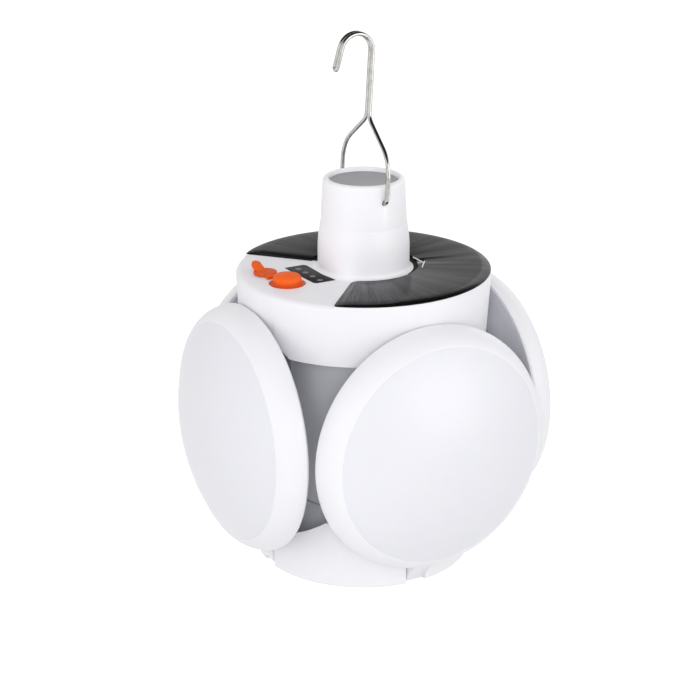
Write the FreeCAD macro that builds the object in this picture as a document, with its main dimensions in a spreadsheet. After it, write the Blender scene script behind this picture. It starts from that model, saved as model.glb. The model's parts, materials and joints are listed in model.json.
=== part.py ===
import FreeCAD, Part
import math
import os
import re
import Sketcher

Vector = FreeCAD.Vector

# Driving sizes, in millimetres and degrees
SIZES = {
    # hanging hook, one wire folded double
    "wire_diameter": 1.4,
    "wire_pitch": 1.7,
    "shank_height": 48.2,
    "hook_lean": 3.3,
    "curl_radius": 5.85,
    "tail_length": 6.5,
    "tail_flare": 13,
    "leg_clearance": 0.45,
    "leg_bend": 1.6,
    "leg_rise": 8.5,
    "shoulder_radius": 12,
    "fork_slope": 52,
    "fork_radius": 5,
    "pin_fit": 0.08,
    "pin_inset": 0.8,
    # head, collar and neck
    "deck_radius": 43.4,
    "deck_edge": 4,
    "rim_bevel": 0.2,
    "skirt_depth": 20.9,
    "skirt_draft": 1.2,
    "wall": 2.2,
    "collar_radius": 15.6,
    "collar_height": 16.2,
    "cove": 0.8,
    "neck_foot_radius": 14.6,
    "neck_top_radius": 13.9,
    "neck_height": 31.4,
    "neck_wall": 1.7,
    "neck_fit": 0.1,
    "neck_lip": 1,
    "pivot_height": 25.8,
    "cap_radius": 12.5,
    "cap_thickness": 1.2,
    "cap_recess": 1,
    "cap_ledge": 1.5,
    "scallop_radius": 37.4,
    "scallop_taper": 30,
    "scallop_over": 4,
    "scallop_under": 13,
    # solar panel and its leads
    "panel_gap": 95.5,
    "panel_inner": 18.8,
    "panel_margin": 0.15,
    "panel_thickness": 1.2,
    "panel_round": 0.8,
    "lead_diameter": 1.1,
    "lead_length": 3.6,
    "lead_spacing": 2.4,
    "lead_azimuth": -20,
    "notch_radius": 2.6,
    # display, button and charging port on the open quarter of the deck
    "window_gap": 0.1,
    "window_side": 1.7,
    "window_width": 7.8,
    "window_length": 19,
    "window_depth": 1,
    "window_proud": 0.2,
    "trim_fit": 0.1,
    "dot_count": 4,
    "dot_pitch": 4.75,
    "dot_radius": 1,
    "button_out": 31,
    "button_side": -3.6,
    "button_radius": 5.8,
    "skirt_step": 1,
    "dome_shoulder": 1.4,
    "crown_tilt": 75,
    "skirt_lift": 0.2,
    "skirt_thickness": 0.8,
    "button_travel": 0.8,
    "press_gap": 0.1,
    "button_fit": 0.35,
    "stem_radius": 2.4,
    "port_inset": 10.4,
    "port_side": 8.6,
    "foot_radius": 3.9,
    "foot_thickness": 0.9,
    "foot_lift": 0.3,
    "stem_length": 5.6,
    "stem_width": 1.8,
    "stem_depth": 1.8,
    "port_margin": 0.4,
    "port_swing": 0.9,
    "tab_start": -0.6,
    "tab_length": 3,
    "tab_width": 3.2,
    "tab_thickness": 1.1,
    "tab_lean": 76,
    "tab_shift": 1,
    "strap_width": 4.4,
    "strap_thickness": 1.2,
    "strap_gap": 0.45,
    # control board under the deck
    "board_drop": 7,
    "board_thickness": 1.6,
    "board_inset": 2.6,
    "board_start": 17.6,
    "board_right": 12.4,
    "board_left": 15,
    "board_boss_radius": 2.3,
    "board_screw_out": 26,
    "board_screw_left": 11.5,
    "board_screw_right": 9.5,
    "switch_width": 6,
    "switch_height": 3.1,
    "plunger_radius": 1.7,
    "plunger_rise": 0.6,
    "socket_length": 7.4,
    "socket_width": 3.2,
    "socket_wall": 0.45,
    "socket_depth": 3,
    "indicator_length": 2,
    "indicator_width": 1.2,
    "indicator_height": 0.8,
    # core housing, battery and hub
    "floor_depth": 9.6,
    "floor_thickness": 1.8,
    "floor_gap": 0.4,
    "core_radius": 25,
    "core_wall": 2,
    "shoulder_gap": 1.7,
    "seam_depth": 79.8,
    "seam_gap": 0.4,
    "cell_radius": 9.2,
    "cell_length": 65,
    "cell_fit": 0.15,
    "cell_nub": 2.8,
    "cell_nub_rise": 0.8,
    "cell_round": 0.6,
    "tab_strip_width": 6,
    "tab_strip_length": 13,
    "tab_strip_thickness": 0.2,
    "rib_thickness": 1.6,
    "spigot_rise": 2,
    "spigot_fit": 0.15,
    "hub_ceiling": 2.2,
    "hub_flange_thickness": 2,
    "boss_radius": 3.2,
    "housing_screw_inset": 5.6,
    "hub_screw_circle": 18.5,
    "screw_radius": 1.2,
    "screw_head_radius": 2.3,
    "screw_head": 1.3,
    "screw_length": 7,
    "screw_fit": 0.1,
    # bottom cup and its lamp
    "cup_inset": 5.2,
    "cup_draft": 0.8,
    "cup_tongue": 79.2,
    "hinge_sink": 1.6,
    "cup_floor_thickness": 2,
    "cup_rim": 3.1,
    "cup_round": 1.2,
    "cup_scallop_radius": 38.7,
    "lens_margin": 1.05,
    "bottom_lens_height": 6,
    "lens_wall": 1.5,
    "lens_fit": 0.15,
    # petals and their hinges
    "petal_drop": 50,
    "petal_stand": 0.8,
    "petal_radius": 42.4,
    "bezel_back": 0.7,
    "bezel_edge": 0.4,
    "bezel_front": 9,
    "bezel_lip": 0.45,
    "lens_radius": 36.95,
    "lens_height": 10.3,
    "lens_flange": 1.45,
    "lens_flange_thickness": 1.1,
    "lens_seat": 2.2,
    "bezel_wall": 3.7,
    "rebate_wall": 1.8,
    "dish_fit": 0.3,
    "dish_depth": 5.9,
    "dish_step": 0.4,
    "dish_radius": 36.5,
    "dish_waist": 33,
    "dish_waist_depth": 3.4,
    "dish_back_radius": 28,
    "dish_round": 6,
    "dish_wall": 1.8,
    "dish_rim": 1.8,
    "led_board_thickness": 1.2,
    "led_length": 3.5,
    "led_width": 2.8,
    "led_height": 0.8,
    "led_outer_circle": 29,
    "led_outer_count": 16,
    "led_inner_circle": 16,
    "led_inner_count": 8,
    "bottom_led_circle": 19,
    "bottom_led_count": 12,
    "petal_screw_circle": 24,
    "petal_screw_count": 3,
    "petal_screw_radius": 0.9,
    "petal_screw_head": 2,
    "petal_screw_head_rise": 1.2,
    "petal_screw_length": 5.5,
    "petal_boss_radius": 2.5,
    "hinge_inset": 9.4,
    "hinge_depth": 99.6,
    "hinge_pin_radius": 1.5,
    "hinge_pin_half": 6.9,
    "hinge_press": 0.02,
    "hinge_run": 0.06,
    "knuckle_radius": 3.4,
    "knuckle_half": 3.55,
    "knuckle_gap": 0.35,
    "cheek_width": 3.5,
    "cheek_rise": 4.4,
    "cheek_reach": 2.2,
    "arm_root": 1.2,
}

# Sizes worked out from the driving ones
DERIVED = {
    "wire_radius": "wire_diameter / 2",
    "leg_spread": "neck_foot_radius + leg_clearance + wire_radius - 0.3 * neck_lip",
    "seat_height": "shank_height * cos(hook_lean) + curl_radius * sin(hook_lean)"
                   " + sqrt((curl_radius - wire_radius) ^ 2"
                   " - (curl_radius * cos(hook_lean) - shank_height * sin(hook_lean)) ^ 2)",
    "deck_level": "-(seat_height + pivot_height)",
    "pin_end": "neck_bore - pin_inset",
    "skirt_radius": "deck_radius - skirt_draft",
    "collar_bore": "neck_foot_radius + neck_fit",
    "flange_radius": "collar_radius + cove",
    "neck_bore": "neck_top_radius - neck_wall",
    "cap_level": "neck_height - cap_recess - cap_thickness",
    "scallop_slope": "tan(scallop_taper)",
    "scallop_outer": "deck_radius + scallop_over",
    "scallop_inner": "deck_radius - scallop_under",
    "button_recess": "skirt_lift + button_travel + press_gap",
    "button_well": "button_radius + button_fit",
    "dome_radius": "button_radius - skirt_step",
    "dome_side": "skirt_thickness - skirt_lift + skirt_step",
    "crown_start": "dome_radius - dome_shoulder * (1 - cos(crown_tilt))",
    "crown_level": "dome_side + dome_shoulder * sin(crown_tilt)",
    "crown_curve": "crown_start / cos(crown_tilt)",
    "button_rise": "crown_level + crown_curve * (1 - sin(crown_tilt))",
    "port_out": "deck_radius - port_inset",
    "plunger_top": "board_drop - switch_height - plunger_rise",
    "button_stem": "plunger_top - button_travel - press_gap",
    "foot_near": "port_side - foot_radius",
    "strap_far": "foot_near - strap_gap",
    "strap_near": "button_side + button_well",
    "port_near": "port_side - stem_width / 2 - port_margin",
    "port_far": "port_side + stem_width / 2 + port_margin + port_swing",
    "port_half": "stem_length / 2 + port_margin",
    "board_bottom": "board_drop + board_thickness",
    "board_reach": "floor_radius - board_inset",
    "window_out": "flange_radius + window_gap + window_width / 2",
    "core_bore": "core_radius - core_wall",
    "floor_bottom": "floor_depth + floor_thickness",
    "floor_radius": "deck_radius - skirt_draft - wall - floor_gap",
    "housing_screw_circle": "floor_radius - housing_screw_inset",
    "core_shoulder": "housing_screw_circle - screw_head_radius - shoulder_gap - core_radius",
    "hub_top": "seam_depth - spigot_rise",
    "hub_inner_top": "seam_depth + hub_ceiling",
    "hub_bore": "core_bore - spigot_fit",
    "cell_bottom": "hub_top - tab_strip_thickness",
    "cell_top": "cell_bottom - cell_length",
    "nub_top": "cell_top - cell_nub_rise",
    "hub_flange": "(core_radius + notch_inner) / 2",
    "cup_top_radius": "deck_radius - cup_inset",
    "cup_bottom_radius": "cup_top_radius - cup_draft",
    "cup_floor": "hinge_depth - hinge_sink",
    "cup_under": "cup_floor + cup_floor_thickness",
    "cup_bottom": "cup_under + cup_rim",
    "bottom_lens_radius": "notch_inner - lens_margin",
    "lens_recess": "bottom_lens_radius + lens_fit",
    "bottom_board_radius": "bottom_lens_radius - lens_wall - 2 * lens_fit",
    "petal_reach": "deck_radius + petal_stand",
    "bezel_rear": "petal_reach - bezel_back",
    "bezel_crown": "petal_reach + bezel_front",
    "bezel_bore": "petal_radius - bezel_wall",
    "bezel_rebate": "petal_radius - rebate_wall",
    "bezel_mouth": "lens_radius + lens_fit",
    "bezel_tip": "bezel_mouth + bezel_lip",
    "bezel_fall": "petal_radius - bezel_tip",
    "bezel_curve": "(bezel_fall ^ 2 + bezel_front ^ 2) / (2 * bezel_fall)",
    "lens_ledge": "bezel_crown - lens_seat",
    "lens_rim_radius": "lens_radius + lens_flange",
    "lens_bore": "lens_radius - lens_wall",
    "lens_curve": "(lens_radius ^ 2 + lens_height ^ 2) / (2 * lens_height)",
    "lens_inner_height": "lens_height - lens_wall + 0.25 * lens_wall",
    "lens_inner_curve": "(lens_bore ^ 2 + lens_inner_height ^ 2) / (2 * lens_inner_height)",
    "dish_rim_radius": "bezel_rebate - dish_fit",
    "dish_back": "bezel_rear - dish_depth",
    "dish_inside": "dish_back + dish_wall",
    "dish_front": "bezel_rear + dish_rim",
    "board_front": "dish_front + led_board_thickness",
    "hinge_out": "deck_radius - hinge_inset",
    "hinge_below": "hinge_depth - petal_drop",
    "arm_middle": "petal_radius - rebate_wall / 2",
    "arm_rise": "hinge_below - arm_middle",
    "arm_run": "petal_reach - hinge_out",
    "arm_reach": "sqrt(arm_rise ^ 2 + arm_run ^ 2)",
    "arm_sine": "arm_run / arm_reach",
    "arm_cosine": "arm_rise / arm_reach",
    "notch_half": "knuckle_half + knuckle_gap",
    "notch_inner": "hinge_out - knuckle_radius - knuckle_gap",
    "cheek_half": "notch_half + cheek_width",
    "bottom_lens_curve": "(bottom_lens_radius ^ 2 + bottom_lens_height ^ 2) / (2 * bottom_lens_height)",
    "bottom_lens_bore": "bottom_lens_radius - lens_wall",
    "bottom_lens_inner": "bottom_lens_height - lens_wall",
    "bottom_lens_inner_curve": "(bottom_lens_bore ^ 2 + bottom_lens_inner ^ 2) / (2 * bottom_lens_inner)",
}

WORD = re.compile(r"[a-z_]+")
PETALS = ("front", "right", "back", "left")

doc = FreeCAD.newDocument("FoldingSolarBulb")
sheet = doc.addObject("Spreadsheet::Sheet", "Sizes")
for row, (alias, size) in enumerate(SIZES.items(), 1):
    sheet.set("A%d" % row, alias)
    sheet.set("B%d" % row, str(size))
    sheet.setAlias("B%d" % row, alias)
doc.recompute()

nodes = []


# Reading sizes

def formula(text):
    """Write a size given in plain words as an expression on the sheet."""
    while any(word in DERIVED for word in WORD.findall(text)):
        text = WORD.sub(lambda hit: "(%s)" % DERIVED.get(hit.group(), hit.group())
                        if hit.group() in DERIVED else hit.group(), text)
    return WORD.sub(lambda hit: "Sizes." + hit.group() if hit.group() in SIZES else hit.group(), text)


def number(text):
    """The present value of a size given in plain words."""
    return float(sheet.evalExpression(formula(text)))


# Bodies, outlines and features

def new_body(label, out="0", side="0", level="deck_level", turn=None):
    """A body whose own origin stands at (out, side, level) of the lamp."""
    body = doc.addObject("PartDesign::Body", label)
    body.Label = label
    if turn:
        body.Placement = FreeCAD.Placement(Vector(), turn)
    for axis, text in (("x", out), ("y", side), ("z", level)):
        if text != "0":
            body.setExpression("Placement.Base." + axis, formula(text))
    nodes.append(body)
    return body


def origin_part(body, role):
    """One of the body's own origin planes or axes."""
    return next(item for item in body.Origin.OriginFeatures if item.Role == role)


def new_sketch(body, name, plane, level="0"):
    """An empty sketch on one of the body's planes, lifted by level along its normal."""
    sketch = body.newObject("Sketcher::SketchObject", name)
    sketch.AttachmentSupport = [(origin_part(body, plane), "")]
    sketch.MapMode = "FlatFace"
    if level != "0":
        sketch.setExpression("AttachmentOffset.Base.z", formula(level))
    return sketch


def hold(sketch, kind, *place, text):
    """A dimension of the sketch that follows the sheet."""
    index = sketch.addConstraint(Sketcher.Constraint(kind, *place, number(text)))
    sketch.setExpression("Constraints[%d]" % index, formula(text))


def hold_point(sketch, item, end, across, up):
    """Fix one point of the sketch by its two distances from the origin."""
    for kind, text, axis in (("DistanceX", across, -2), ("DistanceY", up, -1)):
        if text == "0":
            sketch.addConstraint(Sketcher.Constraint("PointOnObject", item, end, axis))
        else:
            hold(sketch, kind, -1, 1, item, end, text=text)


def bend(start, end, radius, left):
    """The arc of the given radius from start to end that bulges left or right of the way."""
    middle = (start + end) / 2
    way = end - start
    square = Vector(-way.y, way.x, 0).normalize()
    offset = math.sqrt(max(radius ** 2 - (way.Length / 2) ** 2, 0))
    centre = middle - square * offset if left else middle + square * offset
    circle = Part.Circle(centre, Vector(0, 0, 1), radius)
    first, last = (end, start) if left else (start, end)
    angles = [math.atan2(point.y - centre.y, point.x - centre.x) for point in (first, last)]
    return Part.ArcOfCircle(circle, *angles)


def add_loop(sketch, corners):
    """A closed outline of (across, up) corners; a third entry makes an arc to the next corner."""
    points = [Vector(number(corner[0]), number(corner[1]), 0) for corner in corners]
    ends = []
    for index, corner in enumerate(corners):
        start = points[index]
        end = points[(index + 1) % len(points)]
        if len(corner) == 2:
            item = sketch.addGeometry(Part.LineSegment(start, end), False)
            ends.append((item, 1, 2))
        else:
            side, radius = corner[2]
            item = sketch.addGeometry(bend(start, end, number(radius), side == "left"), False)
            ends.append((item, 2, 1) if side == "left" else (item, 1, 2))
            hold(sketch, "Radius", item, text=radius)
    for index, (item, first, last) in enumerate(ends):
        follower, follower_first, _ = ends[(index + 1) % len(ends)]
        sketch.addConstraint(Sketcher.Constraint("Coincident", item, last, follower, follower_first))
        hold_point(sketch, item, first, *corners[index][:2])


def add_box(sketch, across, up, width, height):
    """A rectangle by its middle and its two sides."""
    low, high = "%s - (%s) / 2" % (across, width), "%s + (%s) / 2" % (across, width)
    bottom, top = "%s - (%s) / 2" % (up, height), "%s + (%s) / 2" % (up, height)
    add_loop(sketch, [(low, bottom), (high, bottom), (high, top), (low, top)])


def add_circle(sketch, across, up, radius):
    """A circle by its middle and radius."""
    middle = Vector(number(across), number(up), 0)
    item = sketch.addGeometry(Part.Circle(middle, Vector(0, 0, 1), number(radius)), False)
    hold_point(sketch, item, 3, across, up)
    hold(sketch, "Radius", item, text=radius)


def revolve(body, name, corners, angle=None):
    """Turn an outline of (radius, height) corners about the body's Z axis."""
    sketch = new_sketch(body, name + "Outline", "XZ_Plane")
    add_loop(sketch, corners)
    turned = body.newObject("PartDesign::Revolution", name)
    turned.Profile = sketch
    turned.ReferenceAxis = (sketch, ["V_Axis"])
    if angle:
        turned.Midplane = True
        turned.setExpression("Angle", formula(angle))
    doc.recompute()
    return turned


def pad(body, name, sketch, length, both=False, down=False):
    """Thicken a sketch along its normal."""
    thick = body.newObject("PartDesign::Pad", name)
    thick.Profile = sketch
    thick.setExpression("Length", formula(length))
    thick.SideType = "Symmetric" if both else "One side"
    thick.Reversed = down
    doc.recompute()
    return thick


def cut(body, name, sketch, length=None, both=False, up=False):
    """Cut a sketch into the body, against its normal unless it is told to go up."""
    before = body.Shape.Volume
    hole = body.newObject("PartDesign::Pocket", name)
    hole.Profile = sketch
    if length:
        hole.setExpression("Length", formula(length))
    else:
        hole.Type = "ThroughAll"
    hole.SideType = "Symmetric" if both else "One side"
    hole.Reversed = up
    doc.recompute()
    if body.Shape.Volume >= before:
        raise RuntimeError("%s cuts nothing" % name)
    return hole


def ring_of(body, name, feature, count):
    """Repeat a feature evenly about the body's Z axis."""
    pattern = body.newObject("PartDesign::PolarPattern", name)
    pattern.Originals = [feature]
    pattern.Axis = (origin_part(body, "Z_Axis"), [""])
    pattern.Angle = 360
    if count in SIZES:
        pattern.setExpression("Occurrences", formula(count))
    else:
        pattern.Occurrences = int(count)
    body.Tip = pattern
    doc.recompute()
    return pattern


def round_edges(body, name, radius, wanted):
    """Round the edges that the test picks out."""
    base = body.Tip
    edges = ["Edge%d" % index for index, edge in enumerate(base.Shape.Edges, 1) if wanted(edge)]
    rounded = body.newObject("PartDesign::Fillet", name)
    rounded.Base = (base, edges)
    rounded.setExpression("Radius", formula(radius))
    doc.recompute()
    return rounded


# Head: deck, skirt with its four scallops, bosses and openings

def make_head():
    head = new_body("head_shell")
    revolve(head, "HeadShell", [
        ("collar_bore", "-wall"),
        ("deck_radius - wall", "-wall"),
        ("skirt_radius - wall", "-skirt_depth"),
        ("skirt_radius", "-skirt_depth"),
        ("deck_radius", "-deck_edge", ("right", "deck_edge")),
        ("deck_radius - deck_edge", "0"),
        ("collar_bore", "0"),
    ])
    revolve(head, "PanelBed", [
        ("deck_radius - deck_edge", "-deck_edge"),
        ("deck_radius", "-deck_edge"),
        ("deck_radius", "-rim_bevel"),
        ("deck_radius - rim_bevel", "0"),
        ("deck_radius - deck_edge", "0"),
    ], angle="360 - panel_gap")

    outline = new_sketch(head, "ScallopOutline", "YZ_Plane")
    ends = [Vector(-number(text), -number("petal_drop"), 0) for text in ("scallop_outer", "scallop_inner")]
    axis = outline.addGeometry(Part.LineSegment(*ends), True)
    hold_point(outline, axis, 1, "-scallop_outer", "-petal_drop")
    hold_point(outline, axis, 2, "-scallop_inner", "-petal_drop")
    add_loop(outline, [
        ("-scallop_outer", "-petal_drop"),
        ("-scallop_inner", "-petal_drop"),
        ("-scallop_inner", "scallop_radius - (deck_radius - scallop_inner) * scallop_slope - petal_drop"),
        ("-scallop_outer", "scallop_radius + (scallop_outer - deck_radius) * scallop_slope - petal_drop"),
    ])
    scallop = head.newObject("PartDesign::Groove", "Scallop")
    scallop.Profile = outline
    scallop.ReferenceAxis = (outline, ["Axis0"])
    ring_of(head, "Scallops", scallop, "4")

    bosses = new_sketch(head, "HousingBossOutline", "XY_Plane", "-wall")
    add_circle(bosses, "housing_screw_circle * cos(45)", "housing_screw_circle * sin(45)", "boss_radius")
    ring_of(head, "HousingBosses", pad(head, "HousingBoss", bosses, "floor_depth - wall", down=True), "4")
    pilots = new_sketch(head, "HousingPilotOutline", "XY_Plane", "-floor_depth")
    add_circle(pilots, "housing_screw_circle * cos(45)", "housing_screw_circle * sin(45)",
               "screw_radius + screw_fit")
    pilot = cut(head, "HousingPilot", pilots, "screw_length - floor_thickness + screw_fit", up=True)
    ring_of(head, "HousingPilots", pilot, "4")

    posts = new_sketch(head, "BoardPostOutline", "XY_Plane", "-wall")
    holes = new_sketch(head, "BoardPilotOutline", "XY_Plane", "-board_drop")
    for side in ("board_screw_left", "-board_screw_right"):
        add_circle(posts, "-board_screw_out", side, "board_boss_radius")
        add_circle(holes, "-board_screw_out", side, "petal_screw_radius + screw_fit")
    pad(head, "BoardPosts", posts, "board_drop - wall", down=True)
    cut(head, "BoardPilots", holes, "board_drop - wall", up=True)

    window = new_sketch(head, "WindowSeatOutline", "XY_Plane")
    add_box(window, "-window_out", "window_side", "window_width + 2 * trim_fit",
            "window_length + 2 * trim_fit")
    cut(head, "WindowSeat", window, "window_depth")
    dots = new_sketch(head, "IndicatorHoleOutline", "XY_Plane")
    for index in range(int(number("dot_count"))):
        add_circle(dots, "-window_out", dot_place(index), "dot_radius")
    cut(head, "IndicatorHoles", dots)

    well = new_sketch(head, "ButtonWellOutline", "XY_Plane")
    add_circle(well, "-button_out", "button_side", "button_well")
    cut(head, "ButtonWell", well, "button_recess")
    shaft = new_sketch(head, "ButtonShaftOutline", "XY_Plane")
    add_circle(shaft, "-button_out", "button_side", "stem_radius + button_fit")
    cut(head, "ButtonShaft", shaft)
    port = new_sketch(head, "PortOutline", "XY_Plane")
    add_loop(port, [
        ("-port_out - port_half", "port_near"),
        ("-port_out + port_half", "port_near"),
        ("-port_out + port_half", "port_far"),
        ("-port_out - port_half", "port_far"),
    ])
    cut(head, "Port", port)
    return head


def dot_place(index):
    """Where an indicator lies along the display window."""
    return "window_side + (%d - (dot_count - 1) / 2) * dot_pitch" % index


# Neck: collar on the deck, sleeve with the holes for the hook, and the disc on top

def make_neck():
    collar = new_body("neck_collar")
    revolve(collar, "NeckCollar", [
        ("collar_bore", "0"),
        ("flange_radius", "0", ("left", "cove")),
        ("collar_radius", "cove"),
        ("collar_radius", "collar_height"),
        ("collar_bore", "collar_height"),
    ])

    sleeve = new_body("neck_sleeve")
    revolve(sleeve, "NeckSleeve", [
        ("neck_bore", "-wall"),
        ("neck_foot_radius", "-wall"),
        ("neck_foot_radius", "collar_height"),
        ("neck_top_radius", "neck_height - neck_lip", ("right", "neck_lip")),
        ("neck_top_radius - neck_lip", "neck_height"),
        ("cap_radius + trim_fit", "neck_height"),
        ("cap_radius + trim_fit", "cap_level"),
        ("cap_radius - cap_ledge", "cap_level"),
        ("cap_radius - cap_ledge", "cap_level - neck_wall"),
        ("neck_bore", "cap_level - neck_wall"),
    ])
    pins = new_sketch(sleeve, "HookHoleOutline", "XZ_Plane")
    add_circle(pins, "0", "pivot_height", "wire_radius + pin_fit")
    cut(sleeve, "HookHoles", pins, both=True)

    cap = new_body("neck_cap")
    disc = new_sketch(cap, "NeckCapOutline", "XY_Plane", "cap_level")
    add_circle(disc, "0", "0", "cap_radius")
    pad(cap, "NeckCap", disc, "cap_thickness")


# Solar panel round the neck, open over the controls

def make_panel():
    panel = new_body("solar_panel")
    revolve(panel, "SolarPanel", [
        ("panel_inner", "0"),
        ("deck_radius - panel_margin", "0"),
        ("deck_radius - panel_margin", "panel_thickness - panel_round", ("right", "panel_round")),
        ("deck_radius - panel_margin - panel_round", "panel_thickness"),
        ("panel_inner", "panel_thickness"),
    ], angle="360 - panel_gap")
    notch = new_sketch(panel, "LeadNotchOutline", "XY_Plane", "panel_thickness")
    add_circle(notch, "panel_inner * cos(lead_azimuth)", "panel_inner * sin(lead_azimuth)", "notch_radius")
    cut(panel, "LeadNotch", notch)

    leads = new_body("solar_leads", turn=FreeCAD.Rotation(Vector(0, 0, 1), number("lead_azimuth")))
    ends = new_sketch(leads, "LeadOutline", "YZ_Plane", "flange_radius + trim_fit")
    for side in (-1, 1):
        add_circle(ends, "%d * lead_spacing / 2" % side, "lead_diameter / 2", "lead_diameter / 2")
    pad(leads, "SolarLeads", ends, "lead_length")


# Display, indicators, button and charging port

def make_controls():
    window = new_body("display_window")
    glass = new_sketch(window, "WindowOutline", "XY_Plane", "-window_depth")
    add_box(glass, "-window_out", "window_side", "window_width", "window_length")
    pad(window, "DisplayWindow", glass, "window_depth + window_proud")

    board = new_body("control_board")
    sheet_outline = new_sketch(board, "ControlBoardOutline", "XY_Plane", "-board_drop")
    add_loop(sheet_outline, [
        ("-board_reach", "-board_right"),
        ("-board_start", "-board_right"),
        ("-board_start", "board_left"),
        ("-board_reach", "board_left"),
    ])
    screws = new_body("board_screws", out="-board_screw_out")
    shanks = new_sketch(screws, "BoardShankOutline", "XY_Plane", "-board_bottom")
    heads = new_sketch(screws, "BoardHeadOutline", "XY_Plane", "-board_bottom")
    for side in ("board_screw_left", "-board_screw_right"):
        add_circle(sheet_outline, "-board_screw_out", side, "petal_screw_radius + screw_fit")
        add_circle(shanks, "0", side, "petal_screw_radius")
        add_circle(heads, "0", side, "petal_screw_head")
    pad(board, "ControlBoard", sheet_outline, "board_thickness", down=True)
    pad(screws, "BoardShanks", shanks, "petal_screw_length")
    pad(screws, "BoardHeads", heads, "floor_depth - board_bottom - press_gap", down=True)

    lights = new_body("indicator_leds")
    chips = new_sketch(lights, "IndicatorOutline", "XY_Plane", "-board_drop")
    for index in range(int(number("dot_count"))):
        add_box(chips, "-window_out", dot_place(index), "indicator_width", "indicator_length")
    pad(lights, "IndicatorLeds", chips, "indicator_height")

    switch = new_body("tact_switch", out="-button_out", side="button_side")
    case = new_sketch(switch, "SwitchOutline", "XY_Plane", "-board_drop")
    add_box(case, "0", "0", "switch_width", "switch_width")
    pad(switch, "SwitchCase", case, "switch_height")
    plunger = new_sketch(switch, "PlungerOutline", "XY_Plane", "-board_drop")
    add_circle(plunger, "0", "0", "plunger_radius")
    pad(switch, "Plunger", plunger, "switch_height + plunger_rise")

    socket = new_body("charge_socket", out="-port_out", side="port_side + port_swing / 2")
    shell = new_sketch(socket, "SocketOutline", "XY_Plane", "-board_drop")
    add_box(shell, "0", "0", "socket_length", "socket_width")
    pad(socket, "ChargeSocket", shell, "board_drop - wall - trim_fit")
    mouth = new_sketch(socket, "SocketMouthOutline", "XY_Plane", "-wall - trim_fit")
    add_box(mouth, "0", "0", "socket_length - 2 * socket_wall", "socket_width - 2 * socket_wall")
    cut(socket, "SocketMouth", mouth, "socket_depth")

    button = new_body("switch_button", out="-button_out", side="button_side")
    revolve(button, "SwitchButton", [
        ("0", "-button_stem"),
        ("stem_radius", "-button_stem"),
        ("stem_radius", "-skirt_lift"),
        ("button_radius", "-skirt_lift"),
        ("button_radius", "skirt_thickness - skirt_lift", ("left", "skirt_step")),
        ("dome_radius", "dome_side", ("right", "dome_shoulder")),
        ("crown_start", "crown_level", ("right", "crown_curve")),
        ("0", "button_rise"),
    ])

    strap = new_body("button_strap", out="-port_out")
    band = new_sketch(strap, "StrapOutline", "XY_Plane")
    add_loop(band, [
        ("-strap_width / 2", "strap_near"),
        ("strap_width / 2", "strap_near"),
        ("strap_width / 2", "strap_far"),
        ("-strap_width / 2", "strap_far"),
    ])
    pad(strap, "ButtonStrap", band, "strap_thickness")
    round_edges(strap, "StrapRounds", "strap_thickness / 3",
                lambda edge: edge.BoundBox.ZMin > number("strap_thickness / 2"))

    plug = new_body("port_plug", out="-port_out", side="port_side")
    foot = new_sketch(plug, "FootOutline", "XY_Plane", "foot_lift")
    add_circle(foot, "0", "0", "foot_radius")
    pad(plug, "Foot", foot, "foot_thickness")
    stem = new_sketch(plug, "PlugStemOutline", "XY_Plane", "foot_lift")
    add_box(stem, "0", "0", "stem_length", "stem_width")
    pad(plug, "PlugStem", stem, "stem_depth + foot_lift", down=True)
    tab = new_sketch(plug, "TabOutline", "YZ_Plane", "-tab_shift")
    low = "foot_lift + foot_thickness / 2"
    rise = "(%s + tab_length * cos(tab_lean))" % low
    add_loop(tab, [
        ("tab_start", low),
        ("tab_start + tab_thickness / cos(tab_lean)", low),
        ("tab_start + tab_thickness / cos(tab_lean) + tab_length * sin(tab_lean)", rise,
         ("right", "tab_thickness * 0.55")),
        ("tab_start + tab_length * sin(tab_lean) + tab_thickness * (1 / cos(tab_lean) - cos(tab_lean))",
         rise + " + tab_thickness * sin(tab_lean)"),
    ])
    pad(plug, "PullTab", tab, "tab_width", both=True)


# Floor of the head, core housing with the cell in its ribs, and the hub below

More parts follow.
